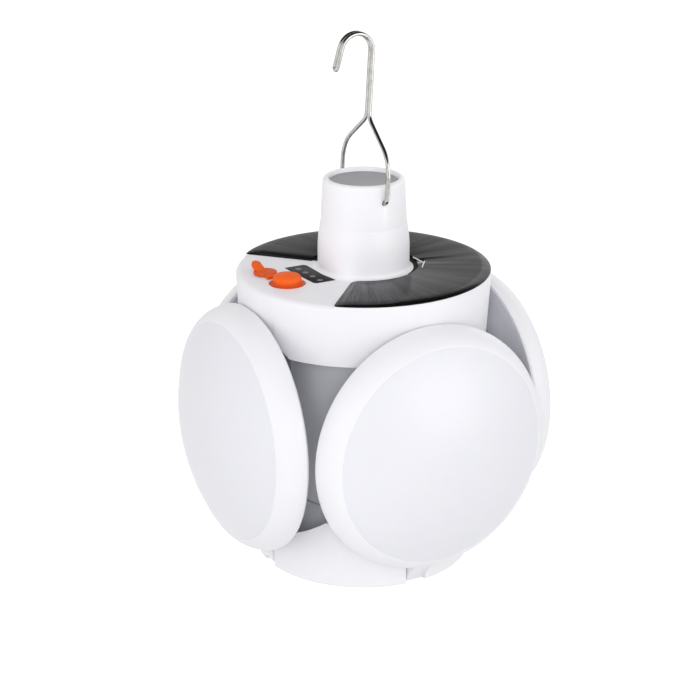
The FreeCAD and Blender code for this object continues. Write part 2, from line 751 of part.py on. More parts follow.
def make_core():
    plate = new_body("head_floor")
    revolve(plate, "HeadFloor", [
        ("core_bore", "-floor_bottom"),
        ("floor_radius", "-floor_bottom"),
        ("floor_radius", "-floor_depth"),
        ("core_bore", "-floor_depth"),
    ])
    screw_holes = new_sketch(plate, "HousingHoleOutline", "XY_Plane", "-floor_depth")
    add_circle(screw_holes, "housing_screw_circle * cos(45)", "housing_screw_circle * sin(45)",
               "screw_radius + screw_fit")
    ring_of(plate, "HousingHoles", cut(plate, "HousingHole", screw_holes, "floor_thickness"), "4")

    core = new_body("core_housing")
    revolve(core, "CoreHousing", [
        ("core_bore", "-floor_bottom"),
        ("core_bore", "-seam_depth + seam_gap / 2"),
        ("core_radius", "-seam_depth + seam_gap / 2"),
        ("core_radius", "-floor_bottom - core_shoulder", ("left", "core_shoulder")),
        ("core_radius + core_shoulder", "-floor_bottom"),
    ])
    rib = new_sketch(core, "RibOutline", "XZ_Plane")
    add_loop(rib, [
        ("cell_radius + cell_fit", "-cell_top - cell_length / 2 - cell_length * 0.4"),
        ("core_bore + core_wall / 2", "-cell_top - cell_length / 2 - cell_length * 0.4"),
        ("core_bore + core_wall / 2", "-cell_top - cell_length / 2 + cell_length * 0.4"),
        ("cell_radius + cell_fit", "-cell_top - cell_length / 2 + cell_length * 0.4"),
    ])
    ring_of(core, "Ribs", pad(core, "Rib", rib, "rib_thickness", both=True), "4")

    screws = new_body("housing_screws", turn=FreeCAD.Rotation(Vector(0, 0, 1), 45))
    make_screws(screws, "Housing", "housing_screw_circle", "-floor_bottom", "4")

    cell = new_body("battery_cell")
    revolve(cell, "BatteryCell", [
        ("0", "-cell_bottom"),
        ("cell_radius - cell_round", "-cell_bottom", ("right", "cell_round")),
        ("cell_radius", "cell_round - cell_bottom"),
        ("cell_radius", "-cell_top - cell_round", ("right", "cell_round")),
        ("cell_radius - cell_round", "-cell_top"),
        ("cell_nub", "-cell_top"),
        ("cell_nub", "-nub_top"),
        ("0", "-nub_top"),
    ])

    strips = new_body("battery_tabs")
    for name, level in (("PlusTab", "-nub_top"), ("MinusTab", "-hub_top")):
        strip = new_sketch(strips, name + "Outline", "XY_Plane", level)
        add_loop(strip, [
            ("-tab_strip_width / 2", "-tab_strip_width / 2"),
            ("tab_strip_width / 2", "-tab_strip_width / 2"),
            ("tab_strip_width / 2", "tab_strip_length - tab_strip_width / 2"),
            ("-tab_strip_width / 2", "tab_strip_length - tab_strip_width / 2"),
        ])
        pad(strips, name, strip, "tab_strip_thickness")

    hub = new_body("base_hub")
    revolve(hub, "BaseHub", [
        ("0", "-hub_inner_top"),
        ("core_bore", "-hub_inner_top"),
        ("core_bore", "-cup_floor"),
        ("hub_flange", "-cup_floor"),
        ("hub_flange", "hub_flange_thickness - cup_floor"),
        ("core_radius", "hub_flange_thickness - cup_floor"),
        ("core_radius", "-seam_depth - seam_gap / 2"),
        ("hub_bore", "-seam_depth - seam_gap / 2"),
        ("hub_bore", "-hub_top"),
        ("0", "-hub_top"),
    ])
    bosses = new_sketch(hub, "HubBossOutline", "XY_Plane", "-cup_floor")
    add_circle(bosses, "hub_screw_circle", "0", "boss_radius")
    ring_of(hub, "HubBosses", pad(hub, "HubBoss", bosses, "cup_floor - hub_inner_top"), "4")
    pilots = new_sketch(hub, "HubPilotOutline", "XY_Plane", "-cup_floor")
    add_circle(pilots, "hub_screw_circle", "0", "screw_radius + screw_fit")
    ring_of(hub, "HubPilots", cut(hub, "HubPilot", pilots, "screw_length + screw_fit", up=True), "4")


def make_screws(body, name, circle, seat, count):
    """Screws that point up, with the underside of their heads at the seat."""
    shank = new_sketch(body, name + "ShankOutline", "XY_Plane", seat)
    add_circle(shank, circle, "0", "screw_radius")
    ring_of(body, name + "Shanks", pad(body, name + "Shank", shank, "screw_length"), count)
    head = new_sketch(body, name + "HeadOutline", "XY_Plane", seat)
    add_circle(head, circle, "0", "screw_head_radius")
    ring_of(body, name + "Heads", pad(body, name + "Head", head, "screw_head", down=True), count)


# Bottom cup with its scalloped wall, hinge cheeks and downlight

def make_cup():
    cup = new_body("bottom_cup")
    revolve(cup, "BottomCup", [
        ("0", "-cup_under"),
        ("lens_recess", "-cup_under"),
        ("lens_recess", "-cup_bottom"),
        ("cup_bottom_radius - cup_round", "-cup_bottom", ("right", "cup_round")),
        ("cup_bottom_radius", "cup_round - cup_bottom"),
        ("cup_top_radius", "-cup_tongue"),
        ("cup_top_radius - wall", "-cup_tongue"),
        ("cup_bottom_radius - wall", "-cup_floor"),
        ("0", "-cup_floor"),
    ])
    cheeks = new_sketch(cup, "CheekOutline", "YZ_Plane")
    add_loop(cheeks, [
        ("-notch_inner", "-cup_under"),
        ("-notch_inner", "cheek_rise - hinge_depth"),
        ("-hinge_out - cheek_reach", "cheek_rise - hinge_depth"),
        ("-hinge_out - cheek_reach", "-cup_under"),
    ])
    ring_of(cup, "Cheeks", pad(cup, "Cheek", cheeks, "2 * cheek_half", both=True), "4")
    for plane in ("XZ_Plane", "YZ_Plane"):
        arch = new_sketch(cup, "CupScallopOutline" + plane[:2], plane)
        add_circle(arch, "0", "-petal_drop", "cup_scallop_radius")
        cut(cup, "CupScallop" + plane[:2], arch, both=True)
    notch = new_sketch(cup, "NotchOutline", "XY_Plane", "cheek_rise - hinge_depth + knuckle_radius")
    add_loop(notch, [
        ("-notch_half", "-cup_top_radius - knuckle_radius"),
        ("notch_half", "-cup_top_radius - knuckle_radius"),
        ("notch_half", "-notch_inner"),
        ("-notch_half", "-notch_inner"),
    ])
    ring_of(cup, "Notches", cut(cup, "Notch", notch), "4")
    bore = new_sketch(cup, "HingeBoreOutline", "YZ_Plane")
    add_circle(bore, "-hinge_out", "-hinge_depth", "hinge_pin_radius + hinge_press")
    bored = cut(cup, "HingeBore", bore, "2 * hinge_pin_half + hinge_press", both=True)
    ring_of(cup, "HingeBores", bored, "4")
    seats = new_sketch(cup, "HubScrewSeatOutline", "XY_Plane", "-cup_under")
    add_circle(seats, "hub_screw_circle", "0", "screw_head_radius + screw_fit")
    ring_of(cup, "HubScrewSeats", cut(cup, "HubScrewSeat", seats, "screw_head", up=True), "4")
    holes = new_sketch(cup, "HubScrewHoleOutline", "XY_Plane", "-cup_under")
    add_circle(holes, "hub_screw_circle", "0", "screw_radius + screw_fit")
    ring_of(cup, "HubScrewHoles", cut(cup, "HubScrewHole", holes, up=True, length="cup_floor_thickness"), "4")

    make_screws(new_body("base_screws"), "Base", "hub_screw_circle", "screw_head - cup_under", "4")

    pins = new_body("hinge_pins")
    pin = new_sketch(pins, "HingePinOutline", "YZ_Plane")
    add_circle(pin, "-hinge_out", "-hinge_depth", "hinge_pin_radius")
    ring_of(pins, "HingePins", pad(pins, "HingePin", pin, "2 * hinge_pin_half", both=True), "4")

    board = new_body("bottom_led_board")
    disc = new_sketch(board, "BottomBoardOutline", "XY_Plane", "-cup_under")
    add_circle(disc, "0", "0", "bottom_board_radius")
    pad(board, "BottomLedBoard", disc, "led_board_thickness", down=True)

    chips = new_body("bottom_leds")
    chip = new_sketch(chips, "BottomLedOutline", "XY_Plane", "-cup_under - led_board_thickness")
    add_box(chip, "bottom_led_circle", "0", "led_length", "led_width")
    ring_of(chips, "BottomLeds", pad(chips, "BottomLed", chip, "led_height", down=True), "bottom_led_count")

    lens = new_body("bottom_diffuser")
    revolve(lens, "BottomDiffuser", [
        ("bottom_lens_bore", "-cup_under"),
        ("bottom_lens_bore", "-cup_bottom", ("left", "bottom_lens_inner_curve")),
        ("0", "-cup_bottom - bottom_lens_inner"),
        ("0", "-cup_bottom - bottom_lens_height", ("right", "bottom_lens_curve")),
        ("bottom_lens_radius", "-cup_bottom"),
        ("bottom_lens_radius", "-cup_under"),
    ])


# Petals: each is modelled with its own Z axis pointing out of the lamp and Y up

def make_petal(name, turn):
    face_out = FreeCAD.Rotation(Vector(0, 0, 1), 90 * turn) * FreeCAD.Rotation(Vector(1, 0, 0), 90)

    def piece(part):
        return new_body("petal_%s_%s" % (name, part), level="deck_level - petal_drop", turn=face_out)

    bezel = piece("bezel")
    revolve(bezel, "Bezel_" + name, [
        ("bezel_rebate", "bezel_rear"),
        ("petal_radius - bezel_edge", "bezel_rear"),
        ("petal_radius", "petal_reach", ("right", "bezel_curve")),
        ("bezel_tip", "bezel_crown"),
        ("bezel_mouth", "bezel_crown"),
        ("bezel_mouth", "lens_ledge"),
        ("bezel_bore", "lens_ledge"),
        ("bezel_bore", "dish_front"),
        ("bezel_rebate", "dish_front"),
    ])
    arm = new_sketch(bezel, "ArmOutline_" + name, "YZ_Plane")
    add_loop(arm, [
        ("-arm_middle + arm_root / 2", "petal_reach"),
        ("-arm_middle - arm_root / 2", "petal_reach"),
        ("-hinge_below - knuckle_radius * arm_sine", "hinge_out + knuckle_radius * arm_cosine"),
        ("-hinge_below + knuckle_radius * arm_sine", "hinge_out - knuckle_radius * arm_cosine"),
    ])
    pad(bezel, "Arm_" + name, arm, "2 * knuckle_half", both=True)
    knuckle = new_sketch(bezel, "KnuckleOutline_" + name, "YZ_Plane")
    add_circle(knuckle, "-hinge_below", "hinge_out", "knuckle_radius")
    pad(bezel, "Knuckle_" + name, knuckle, "2 * knuckle_half", both=True)
    bore = new_sketch(bezel, "KnuckleBoreOutline_" + name, "YZ_Plane")
    add_circle(bore, "-hinge_below", "hinge_out", "hinge_pin_radius + hinge_run")
    cut(bezel, "KnuckleBore_" + name, bore, both=True)

    back = piece("back")
    revolve(back, "Dish_" + name, [
        ("0", "dish_back"),
        ("dish_back_radius", "dish_back", ("right", "dish_round")),
        ("dish_waist", "bezel_rear - dish_waist_depth"),
        ("dish_radius", "bezel_rear - dish_step"),
        ("dish_rim_radius", "bezel_rear"),
        ("dish_rim_radius", "dish_front"),
        ("dish_radius - dish_step", "dish_front"),
        ("dish_waist - dish_wall / 2", "bezel_rear - dish_waist_depth + dish_wall / 2"),
        ("dish_back_radius", "dish_inside"),
        ("0", "dish_inside"),
    ])
    boss = new_sketch(back, "BossOutline_" + name, "XY_Plane", "dish_inside")
    add_circle(boss, "petal_screw_circle", "0", "petal_boss_radius")
    bosses = pad(back, "Boss_" + name, boss, "dish_front - dish_inside")
    ring_of(back, "Bosses_" + name, bosses, "petal_screw_count")
    pilot = new_sketch(back, "PilotOutline_" + name, "XY_Plane", "dish_front")
    add_circle(pilot, "petal_screw_circle", "0", "petal_screw_radius + screw_fit")
    pilots = cut(back, "Pilot_" + name, pilot, "dish_front - dish_inside")
    ring_of(back, "Pilots_" + name, pilots, "petal_screw_count")

    board = piece("led_board")
    disc = new_sketch(board, "LedBoardOutline_" + name, "XY_Plane", "dish_front")
    add_circle(disc, "0", "0", "bezel_bore - dish_fit")
    pad(board, "LedBoard_" + name, disc, "led_board_thickness")
    hole = new_sketch(board, "LedBoardHoleOutline_" + name, "XY_Plane", "board_front")
    add_circle(hole, "petal_screw_circle", "0", "petal_screw_radius + screw_fit")
    ring_of(board, "LedBoardHoles_" + name, cut(board, "LedBoardHole_" + name, hole), "petal_screw_count")

    leds = piece("leds")
    for ring in ("outer", "inner"):
        chip = new_sketch(leds, "LedOutline_%s_%s" % (ring, name), "XY_Plane", "board_front")
        add_box(chip, "led_%s_circle" % ring, "0", "led_length", "led_width")
        chips = pad(leds, "Led_%s_%s" % (ring, name), chip, "led_height")
        ring_of(leds, "Leds_%s_%s" % (ring, name), chips, "led_%s_count" % ring)

    screws = piece("screws")
    shank = new_sketch(screws, "ShankOutline_" + name, "XY_Plane", "board_front")
    add_circle(shank, "petal_screw_circle", "0", "petal_screw_radius")
    shanks = pad(screws, "Shank_" + name, shank, "petal_screw_length", down=True)
    ring_of(screws, "Shanks_" + name, shanks, "petal_screw_count")
    head = new_sketch(screws, "HeadOutline_" + name, "XY_Plane", "board_front")
    add_circle(head, "petal_screw_circle", "0", "petal_screw_head")
    heads = pad(screws, "Head_" + name, head, "petal_screw_head_rise")
    ring_of(screws, "Heads_" + name, heads, "petal_screw_count")

    lens = piece("diffuser")
    revolve(lens, "Diffuser_" + name, [
        ("lens_bore", "lens_ledge - lens_fit - lens_flange_thickness"),
        ("lens_rim_radius", "lens_ledge - lens_fit - lens_flange_thickness"),
        ("lens_rim_radius", "lens_ledge - lens_fit"),
        ("lens_radius", "lens_ledge - lens_fit"),
        ("lens_radius", "bezel_crown", ("right", "lens_curve")),
        ("0", "bezel_crown + lens_height"),
        ("0", "bezel_crown + lens_height - lens_wall", ("left", "lens_inner_curve")),
        ("lens_bore", "bezel_crown - lens_wall / 4"),
    ])


# Hanging hook: straight runs and tangent arcs of one wire, bent from pin to pin

def make_hook():
    radius = number("wire_radius")
    half = number("wire_pitch") / 2
    spread = number("leg_spread")
    leg_bend = number("leg_bend")
    rise = number("leg_rise")
    slope = math.radians(number("fork_slope"))
    shoulder = number("shoulder_radius")
    fork = number("fork_radius")
    curl = number("curl_radius")
    shank = number("shank_height")
    flare = math.radians(number("tail_flare"))
    tail = number("tail_length")

    shoulder_end = Vector(0, spread - shoulder * (1 - math.cos(slope)), rise + shoulder * math.sin(slope))
    shoulder_middle = Vector(0, spread - shoulder * (1 - math.cos(slope / 2)),
                             rise + shoulder * math.sin(slope / 2))
    run = (shoulder_end.y - fork * (1 - math.cos(slope)) - half) / math.sin(slope)
    fork_start = shoulder_end + Vector(0, -math.sin(slope), math.cos(slope)) * run
    fork_end = Vector(0, half, fork_start.z + fork * math.sin(slope))
    fork_middle = Vector(0, half + fork * (1 - math.cos(slope / 2)),
                         fork_end.z - fork * math.sin(slope / 2))
    sweep = math.pi - flare

    def on_curl(angle):
        return Vector(curl * (math.cos(angle) - 1), half, shank + curl * math.sin(angle))

    corner = leg_bend * math.sqrt(0.5)
    pin_start = Vector(0, number("pin_end"), 0)
    bend_start = Vector(0, spread - leg_bend, 0)
    bend_middle = Vector(0, spread - leg_bend + corner, leg_bend - corner)
    bend_end = Vector(0, spread, leg_bend)
    leg_end = Vector(0, spread, rise)
    tail_start = on_curl(sweep)
    down_tail = Vector(-math.sin(flare), 0, -math.cos(flare))
    tail_end = tail_start + down_tail * tail

    def mirrored(point):
        return Vector(point.x, -point.y, point.z)

    half_way = [
        Part.LineSegment(pin_start, bend_start),
        Part.Arc(bend_start, bend_middle, bend_end),
        Part.LineSegment(bend_end, leg_end),
        Part.Arc(leg_end, shoulder_middle, shoulder_end),
        Part.LineSegment(shoulder_end, fork_start),
        Part.Arc(fork_start, fork_middle, fork_end),
        Part.LineSegment(fork_end, on_curl(0)),
        Part.Arc(on_curl(0), on_curl(sweep / 2), tail_start),
        Part.LineSegment(tail_start, tail_end),
    ]
    fold = Part.Arc(tail_end, Vector(tail_end.x, 0, tail_end.z) + down_tail * half, mirrored(tail_end))
    way_back = []
    for piece in reversed(half_way):
        first, last = mirrored(piece.EndPoint), mirrored(piece.StartPoint)
        if isinstance(piece, Part.LineSegment):
            way_back.append(Part.LineSegment(first, last))
        else:
            middle = piece.value((piece.FirstParameter + piece.LastParameter) / 2)
            way_back.append(Part.Arc(first, mirrored(middle), last))
    path = Part.Wire([piece.toShape() for piece in half_way + [fold] + way_back])
    section = Part.Wire(Part.makeCircle(radius, pin_start, Vector(0, 1, 0)))
    wire = path.makePipeShell([section], True, False)
    expected = math.pi * radius ** 2 * path.Length
    if abs(wire.Volume - expected) > 0.01 * expected:
        raise RuntimeError("hook wire has %.1f mm3, not %.1f" % (wire.Volume, expected))

    hook = doc.addObject("Part::Feature", "hanging_hook")
    hook.Label = "hanging_hook"
    hook.Shape = wire
    hook.Placement = FreeCAD.Placement(Vector(0, 0, -number("seat_height")),
                                       FreeCAD.Rotation(Vector(0, 1, 0), number("hook_lean")))
    nodes.append(hook)


make_hook()
make_head()
make_neck()
make_panel()
make_controls()
make_core()
make_cup()
for turn, name in enumerate(PETALS):
    make_petal(name, turn)
doc.recompute()

# Every object has to be sound before anything is written
for item in doc.Objects:
    if "Invalid" in item.State or "Error" in item.State:
        raise RuntimeError("%s failed: %s" % (item.Label, item.State))
for node in nodes:
    if node.Shape.isNull() or not node.Shape.isValid():
        raise RuntimeError("%s has no sound shape" % node.Label)

os.makedirs("parts", exist_ok=True)
for node in nodes:
    node.Shape.exportStep("parts/%s.step" % node.Label)
    print("%-28s solids %2d  volume %10.2f mm3" % (node.Label, len(node.Shape.Solids), node.Shape.Volume))
print("hook seat to pivot %.3f mm, to deck %.3f mm" % (number("seat_height"), -number("deck_level")))
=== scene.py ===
import json
import math
import bpy
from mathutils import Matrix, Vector


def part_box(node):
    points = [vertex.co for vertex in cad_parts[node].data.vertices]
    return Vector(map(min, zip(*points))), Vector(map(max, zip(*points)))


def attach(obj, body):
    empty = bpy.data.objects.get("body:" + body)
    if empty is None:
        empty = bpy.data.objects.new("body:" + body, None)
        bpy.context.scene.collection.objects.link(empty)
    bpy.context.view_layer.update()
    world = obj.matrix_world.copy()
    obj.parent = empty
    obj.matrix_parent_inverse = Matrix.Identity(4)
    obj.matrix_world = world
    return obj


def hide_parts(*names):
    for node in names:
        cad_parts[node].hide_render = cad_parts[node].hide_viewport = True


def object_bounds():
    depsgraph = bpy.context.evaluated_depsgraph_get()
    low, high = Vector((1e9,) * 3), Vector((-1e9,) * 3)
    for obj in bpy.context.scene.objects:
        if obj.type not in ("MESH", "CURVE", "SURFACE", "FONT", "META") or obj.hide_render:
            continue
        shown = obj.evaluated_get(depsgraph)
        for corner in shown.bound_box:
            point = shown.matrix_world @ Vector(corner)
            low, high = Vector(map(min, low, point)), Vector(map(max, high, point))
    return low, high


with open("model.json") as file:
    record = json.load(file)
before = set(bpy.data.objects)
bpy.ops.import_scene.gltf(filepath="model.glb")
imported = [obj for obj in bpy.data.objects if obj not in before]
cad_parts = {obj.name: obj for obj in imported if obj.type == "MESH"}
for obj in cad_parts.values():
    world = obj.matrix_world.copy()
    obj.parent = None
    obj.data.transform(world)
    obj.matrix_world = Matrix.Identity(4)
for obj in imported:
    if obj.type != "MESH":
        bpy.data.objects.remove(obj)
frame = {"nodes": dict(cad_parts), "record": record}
cad_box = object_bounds()

MM = 0.001
MERGE_DISTANCE = 1e-6
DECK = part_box("head_shell")[1].z
PETALS = ("front", "right", "back", "left")

# Sizes that more than one piece uses, in millimetres and degrees
DECK_RADIUS = 43.4
WALL = 2.2
COLLAR_BORE = 14.7
PANEL_GAP = 95.5
PANEL_START, PANEL_SWEEP, PANEL_STEPS = PANEL_GAP / 2 - 180, 360 - PANEL_GAP, 141
PETAL_DROP = 50
HINGE_OUT = 34
HINGE_DROP = 99.6
PIN_RADIUS = 1.5
LENS_RADIUS = 36.95
BUTTON_PLACE = Vector((-31, -3.6, 0))
PORT_PLACE = Vector((-33, 8.6, 0))
WINDOW_PLACE = Vector((-20.4, 1.7, 0))
WINDOW_OUTLINE = [(-2.0, -10.1), (5.0, -10.1), (3.95, -2.7), (3.9, 8.6), (3.0, 9.5), (-3.9, 9.5),
                  (-2.86, -9.2)]
WINDOW_DEPTH = 1

PETAL_LEVEL = DECK - PETAL_DROP * MM


# Modelling by hand: one piece is open at a time

def open_piece(name):
    """A new piece that is one vertex at the origin, open in edit mode."""
    bpy.ops.object.select_all(action="DESELECT")
    bpy.ops.mesh.primitive_plane_add(size=MM)
    piece = bpy.context.object
    piece.name = name
    bpy.ops.object.mode_set(mode="EDIT")
    bpy.ops.mesh.merge(type="CENTER")
    return piece


def close_piece():
    """Merge what lies double, turn the faces outwards and leave edit mode."""
    bpy.ops.mesh.select_all(action="SELECT")
    bpy.ops.mesh.remove_doubles(threshold=MERGE_DISTANCE)
    bpy.ops.mesh.normals_make_consistent(inside=False)
    bpy.ops.object.mode_set(mode="OBJECT")


def draw(points):
    """Take the open vertex to the first point and extrude it along the others and back."""
    places = [Vector(point) * MM for point in points]
    bpy.ops.transform.translate(value=places[0])
    for before, after in zip(places, places[1:] + places[:1]):
        bpy.ops.mesh.extrude_region_move(TRANSFORM_OT_translate={"value": after - before})
    bpy.ops.mesh.select_all(action="SELECT")
    bpy.ops.mesh.remove_doubles(threshold=MERGE_DISTANCE)


def arc(across, up, radius, start, end, steps=8):
    """Points of an arc about (across, up), between two angles in degrees."""
    angles = [math.radians(start + (end - start) * step / steps) for step in range(steps + 1)]
    return [(across + radius * math.cos(angle), up + radius * math.sin(angle)) for angle in angles]


def turned(name, outline, steps=144):
    """Spin a closed outline of (radius, height) all the way round the Z axis."""
    piece = open_piece(name)
    draw([(radius, 0, height) for radius, height in outline])
    bpy.ops.mesh.spin(steps=steps, angle=math.tau, center=(0, 0, 0), axis=(0, 0, 1))
    close_piece()
    return piece


def turned_part(name, outline, start, sweep, steps):
    """Spin a filled outline of (radius, height) part of the way, anticlockwise from the start angle."""
    angle = math.radians(start)
    piece = open_piece(name)
    draw([(radius * math.cos(angle), radius * math.sin(angle), height) for radius, height in outline])
    bpy.ops.mesh.edge_face_add()
    bpy.ops.mesh.spin(steps=steps, angle=-math.radians(sweep), center=(0, 0, 0), axis=(0, 0, 1))
    close_piece()
    return piece


def slab(name, outline, low, high):
    """Fill a flat outline of (x, y) points and extrude it from one height to the other."""
    piece = open_piece(name)
    draw([(x, y, low) for x, y in outline])
    bpy.ops.mesh.edge_face_add()
    bpy.ops.mesh.extrude_region_move(TRANSFORM_OT_translate={"value": (0, 0, (high - low) * MM)})
    close_piece()
    return piece


def pick(piece):
    """Select one piece alone and make it the active one."""
    bpy.ops.object.select_all(action="DESELECT")
    piece.select_set(True)
    bpy.context.view_layer.objects.active = piece


def settle(piece, place=(0, 0, 0), turn=(0, 0, 0)):
    """Put a piece where it belongs, with the place kept in its mesh."""
    pick(piece)
    piece.location = place
    piece.rotation_euler = [math.radians(angle) for angle in turn]
    bpy.ops.object.transform_apply(location=True, rotation=True, scale=True)
    return piece


def apply_modifier(piece, modifier):
    pick(piece)
    bpy.ops.object.modifier_apply(modifier=modifier.name)


def combine(piece, tool, operation="DIFFERENCE"):
    """Cut the tool out of the piece, or join it on, and throw the tool away."""
    modifier = piece.modifiers.new("Combine", "BOOLEAN")
    modifier.operation = operation
    modifier.solver = "EXACT"
    modifier.object = tool
    apply_modifier(piece, modifier)
    bpy.data.meshes.remove(tool.data)


def soften(piece, width, segments=3, corner=30):
    """Round the corners that are sharper than the corner angle and shade the piece smooth."""
    modifier = piece.modifiers.new("Soften", "BEVEL")
    modifier.limit_method = "ANGLE"
    modifier.angle_limit = math.radians(corner)
    modifier.width = width * MM
    modifier.segments = segments
    modifier.miter_outer = "MITER_ARC"
    apply_modifier(piece, modifier)
    smooth(piece, corner)


def smooth(piece, corner=30):
    """Shade a piece smooth where its faces meet at less than the corner angle."""
    pick(piece)
    bpy.ops.object.shade_smooth_by_angle(angle=math.radians(corner))


def box_tool(low, high):
    """A block between two corners, in millimetres, to cut or join with."""
    bpy.ops.object.select_all(action="DESELECT")
    middle = (Vector(low) + Vector(high)) / 2 * MM
    bpy.ops.mesh.primitive_cube_add(size=1, location=middle, scale=(Vector(high) - Vector(low)) * MM)
    tool = bpy.context.object
    bpy.ops.object.transform_apply(location=True, rotation=True, scale=True)
    return tool


def rod_tool(radius, length, place, turn=(0, 0, 0), vertices=64, far_radius=None):
    """A rod or cone about its own Z axis, in millimetres, to cut or join with."""
    bpy.ops.object.select_all(action="DESELECT")
    bpy.ops.mesh.primitive_cone_add(vertices=vertices, radius1=radius * MM, depth=length * MM,
                                    radius2=(radius if far_radius is None else far_radius) * MM)
    return settle(bpy.context.object, Vector(place) * MM, turn)


def finish_piece(piece, body, slot, node, finish=None):
    """Hang the piece on its body, give it its finish and let it stand for its CAD node."""
    piece.data.materials.clear()
    piece.data.materials.append(finishes[finish or slot])
    if node:
        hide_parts(node)
    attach(piece, body)


# Shader groups that several finishes share

def new_group(name, inputs, outputs):
    group = bpy.data.node_groups.new(name, "ShaderNodeTree")
    for label, kind, value in inputs:
        socket = group.interface.new_socket(label, in_out="INPUT", socket_type=kind)
        socket.default_value = value
    for label, kind in outputs:
        group.interface.new_socket(label, in_out="OUTPUT", socket_type=kind)
    return group, group.nodes.new("NodeGroupInput"), group.nodes.new("NodeGroupOutput")


def math_node(tree, operation, first, second=None):
    """A Math node whose inputs are sockets or plain numbers."""
    node = tree.nodes.new("ShaderNodeMath")
    node.operation = operation
    for index, value in enumerate((first, second)):
        if isinstance(value, (int, float)):
            node.inputs[index].default_value = value
        elif value is not None:
            tree.links.new(value, node.inputs[index])
    return node.outputs[0]


def noise_node(tree, vector, scale, detail=2, roughness=0.5):
    node = tree.nodes.new("ShaderNodeTexNoise")
    node.inputs["Detail"].default_value = detail
    node.inputs["Roughness"].default_value = roughness
    tree.links.new(vector, node.inputs["Vector"])
    if isinstance(scale, (int, float)):
        node.inputs["Scale"].default_value = scale
    else:
        tree.links.new(scale, node.inputs["Scale"])
    return node.outputs["Fac"]


def spread_node(tree, value, low, high, new_low=0.0, new_high=1.0):
    """Stretch a value from one range to another, with its ends held."""
    node = tree.nodes.new("ShaderNodeMapRange")
    for index, entry in enumerate((value, low, high, new_low, new_high)):
        if isinstance(entry, (int, float)):
            node.inputs[index].default_value = entry
        else:
            tree.links.new(entry, node.inputs[index])
    return node.outputs["Result"]


def blend_node(tree, mask, first, second):
    """Blend two colours, each a socket or a plain colour, by a mask."""
    node = tree.nodes.new("ShaderNodeMix")
    node.data_type = "RGBA"
    factor, first_colour, second_colour, result = 0, 6, 7, 2
    for index, entry in ((factor, mask), (first_colour, first), (second_colour, second)):
        if isinstance(entry, (int, float)):
            node.inputs[index].default_value = entry
        elif isinstance(entry, tuple):
            node.inputs[index].default_value = (*entry, 1)
        else:
            tree.links.new(entry, node.inputs[index])
    return node.outputs[result]


def split_node(tree, vector):
    """The X, Y and Z of a vector."""
    node = tree.nodes.new("ShaderNodeSeparateXYZ")
    tree.links.new(vector, node.inputs[0])
    return node.outputs


def distance_node(tree, across, along):
    """How far a flat place lies from the origin."""
    squares = [math_node(tree, "MULTIPLY", part, part) for part in (across, along)]
    return math_node(tree, "SQRT", math_node(tree, "ADD", *squares))


def object_place(tree):
    return tree.nodes.new("ShaderNodeTexCoord").outputs["Object"]


def make_moulding():
    """Moulded plastic: a slow drift between two tints, uneven gloss and a fine spark grain."""
    group, given, out = new_group("moulding", [
        ("Tint", "NodeSocketColor", (0.8, 0.8, 0.8, 1)),
        ("Drift tint", "NodeSocketColor", (0.75, 0.75, 0.75, 1)),
        ("Gloss low", "NodeSocketFloat", 0.3),
        ("Gloss high", "NodeSocketFloat", 0.4),
        ("Grain per metre", "NodeSocketFloat", 3000.0),
    ], [("Color", "NodeSocketColor"), ("Roughness", "NodeSocketFloat"), ("Height", "NodeSocketFloat")])
    place = object_place(group)
    drift = spread_node(group, noise_node(group, place, 28.0, 3), 0.35, 0.65)
    group.links.new(blend_node(group, drift, given.outputs["Tint"], given.outputs["Drift tint"]),
                    out.inputs["Color"])
    handled = noise_node(group, place, 110.0, 4, 0.6)
    gloss = spread_node(group, handled, 0.3, 0.7, given.outputs["Gloss low"], given.outputs["Gloss high"])
    group.links.new(gloss, out.inputs["Roughness"])
    group.links.new(noise_node(group, place, given.outputs["Grain per metre"], 1), out.inputs["Height"])
    return group


def make_drawn_metal():
    """Drawn and plated metal: fine lengthwise scratches and small dull spots."""
    group, given, out = new_group("drawn_metal", [
        ("Bright", "NodeSocketColor", (0.6, 0.6, 0.6, 1)),
        ("Dull", "NodeSocketColor", (0.4, 0.4, 0.4, 1)),
        ("Gloss low", "NodeSocketFloat", 0.12),
        ("Gloss high", "NodeSocketFloat", 0.32),
        ("Stretch", "NodeSocketVector", (1, 1, 0.1)),
    ], [("Color", "NodeSocketColor"), ("Roughness", "NodeSocketFloat"), ("Height", "NodeSocketFloat")])
    stretched = group.nodes.new("ShaderNodeVectorMath")
    stretched.operation = "MULTIPLY"
    group.links.new(object_place(group), stretched.inputs[0])
    group.links.new(given.outputs["Stretch"], stretched.inputs[1])
    lines = noise_node(group, stretched.outputs[0], 2600.0, 3, 0.6)
    spots = spread_node(group, noise_node(group, object_place(group), 420.0, 3), 0.5, 0.72, 0.0, 0.5)
    worn = math_node(group, "MAXIMUM", spots, spread_node(group, lines, 0.5, 0.7, 0.0, 0.6))
    group.links.new(blend_node(group, worn, given.outputs["Bright"], given.outputs["Dull"]),
                    out.inputs["Color"])
    gloss = spread_node(group, lines, 0.3, 0.7, given.outputs["Gloss low"], given.outputs["Gloss high"])
    group.links.new(gloss, out.inputs["Roughness"])
    group.links.new(lines, out.inputs["Height"])
    return group


def new_finish(name, **settings):
    """A material with its Principled shader; constant values go on the shader's own sockets."""
    material = bpy.data.materials.new(name)
    material.use_nodes = True
    shader = material.node_tree.nodes["Principled BSDF"]
    for label, value in settings.items():
        shader.inputs[label.replace("_", " ")].default_value = value
    return material, material.node_tree, shader


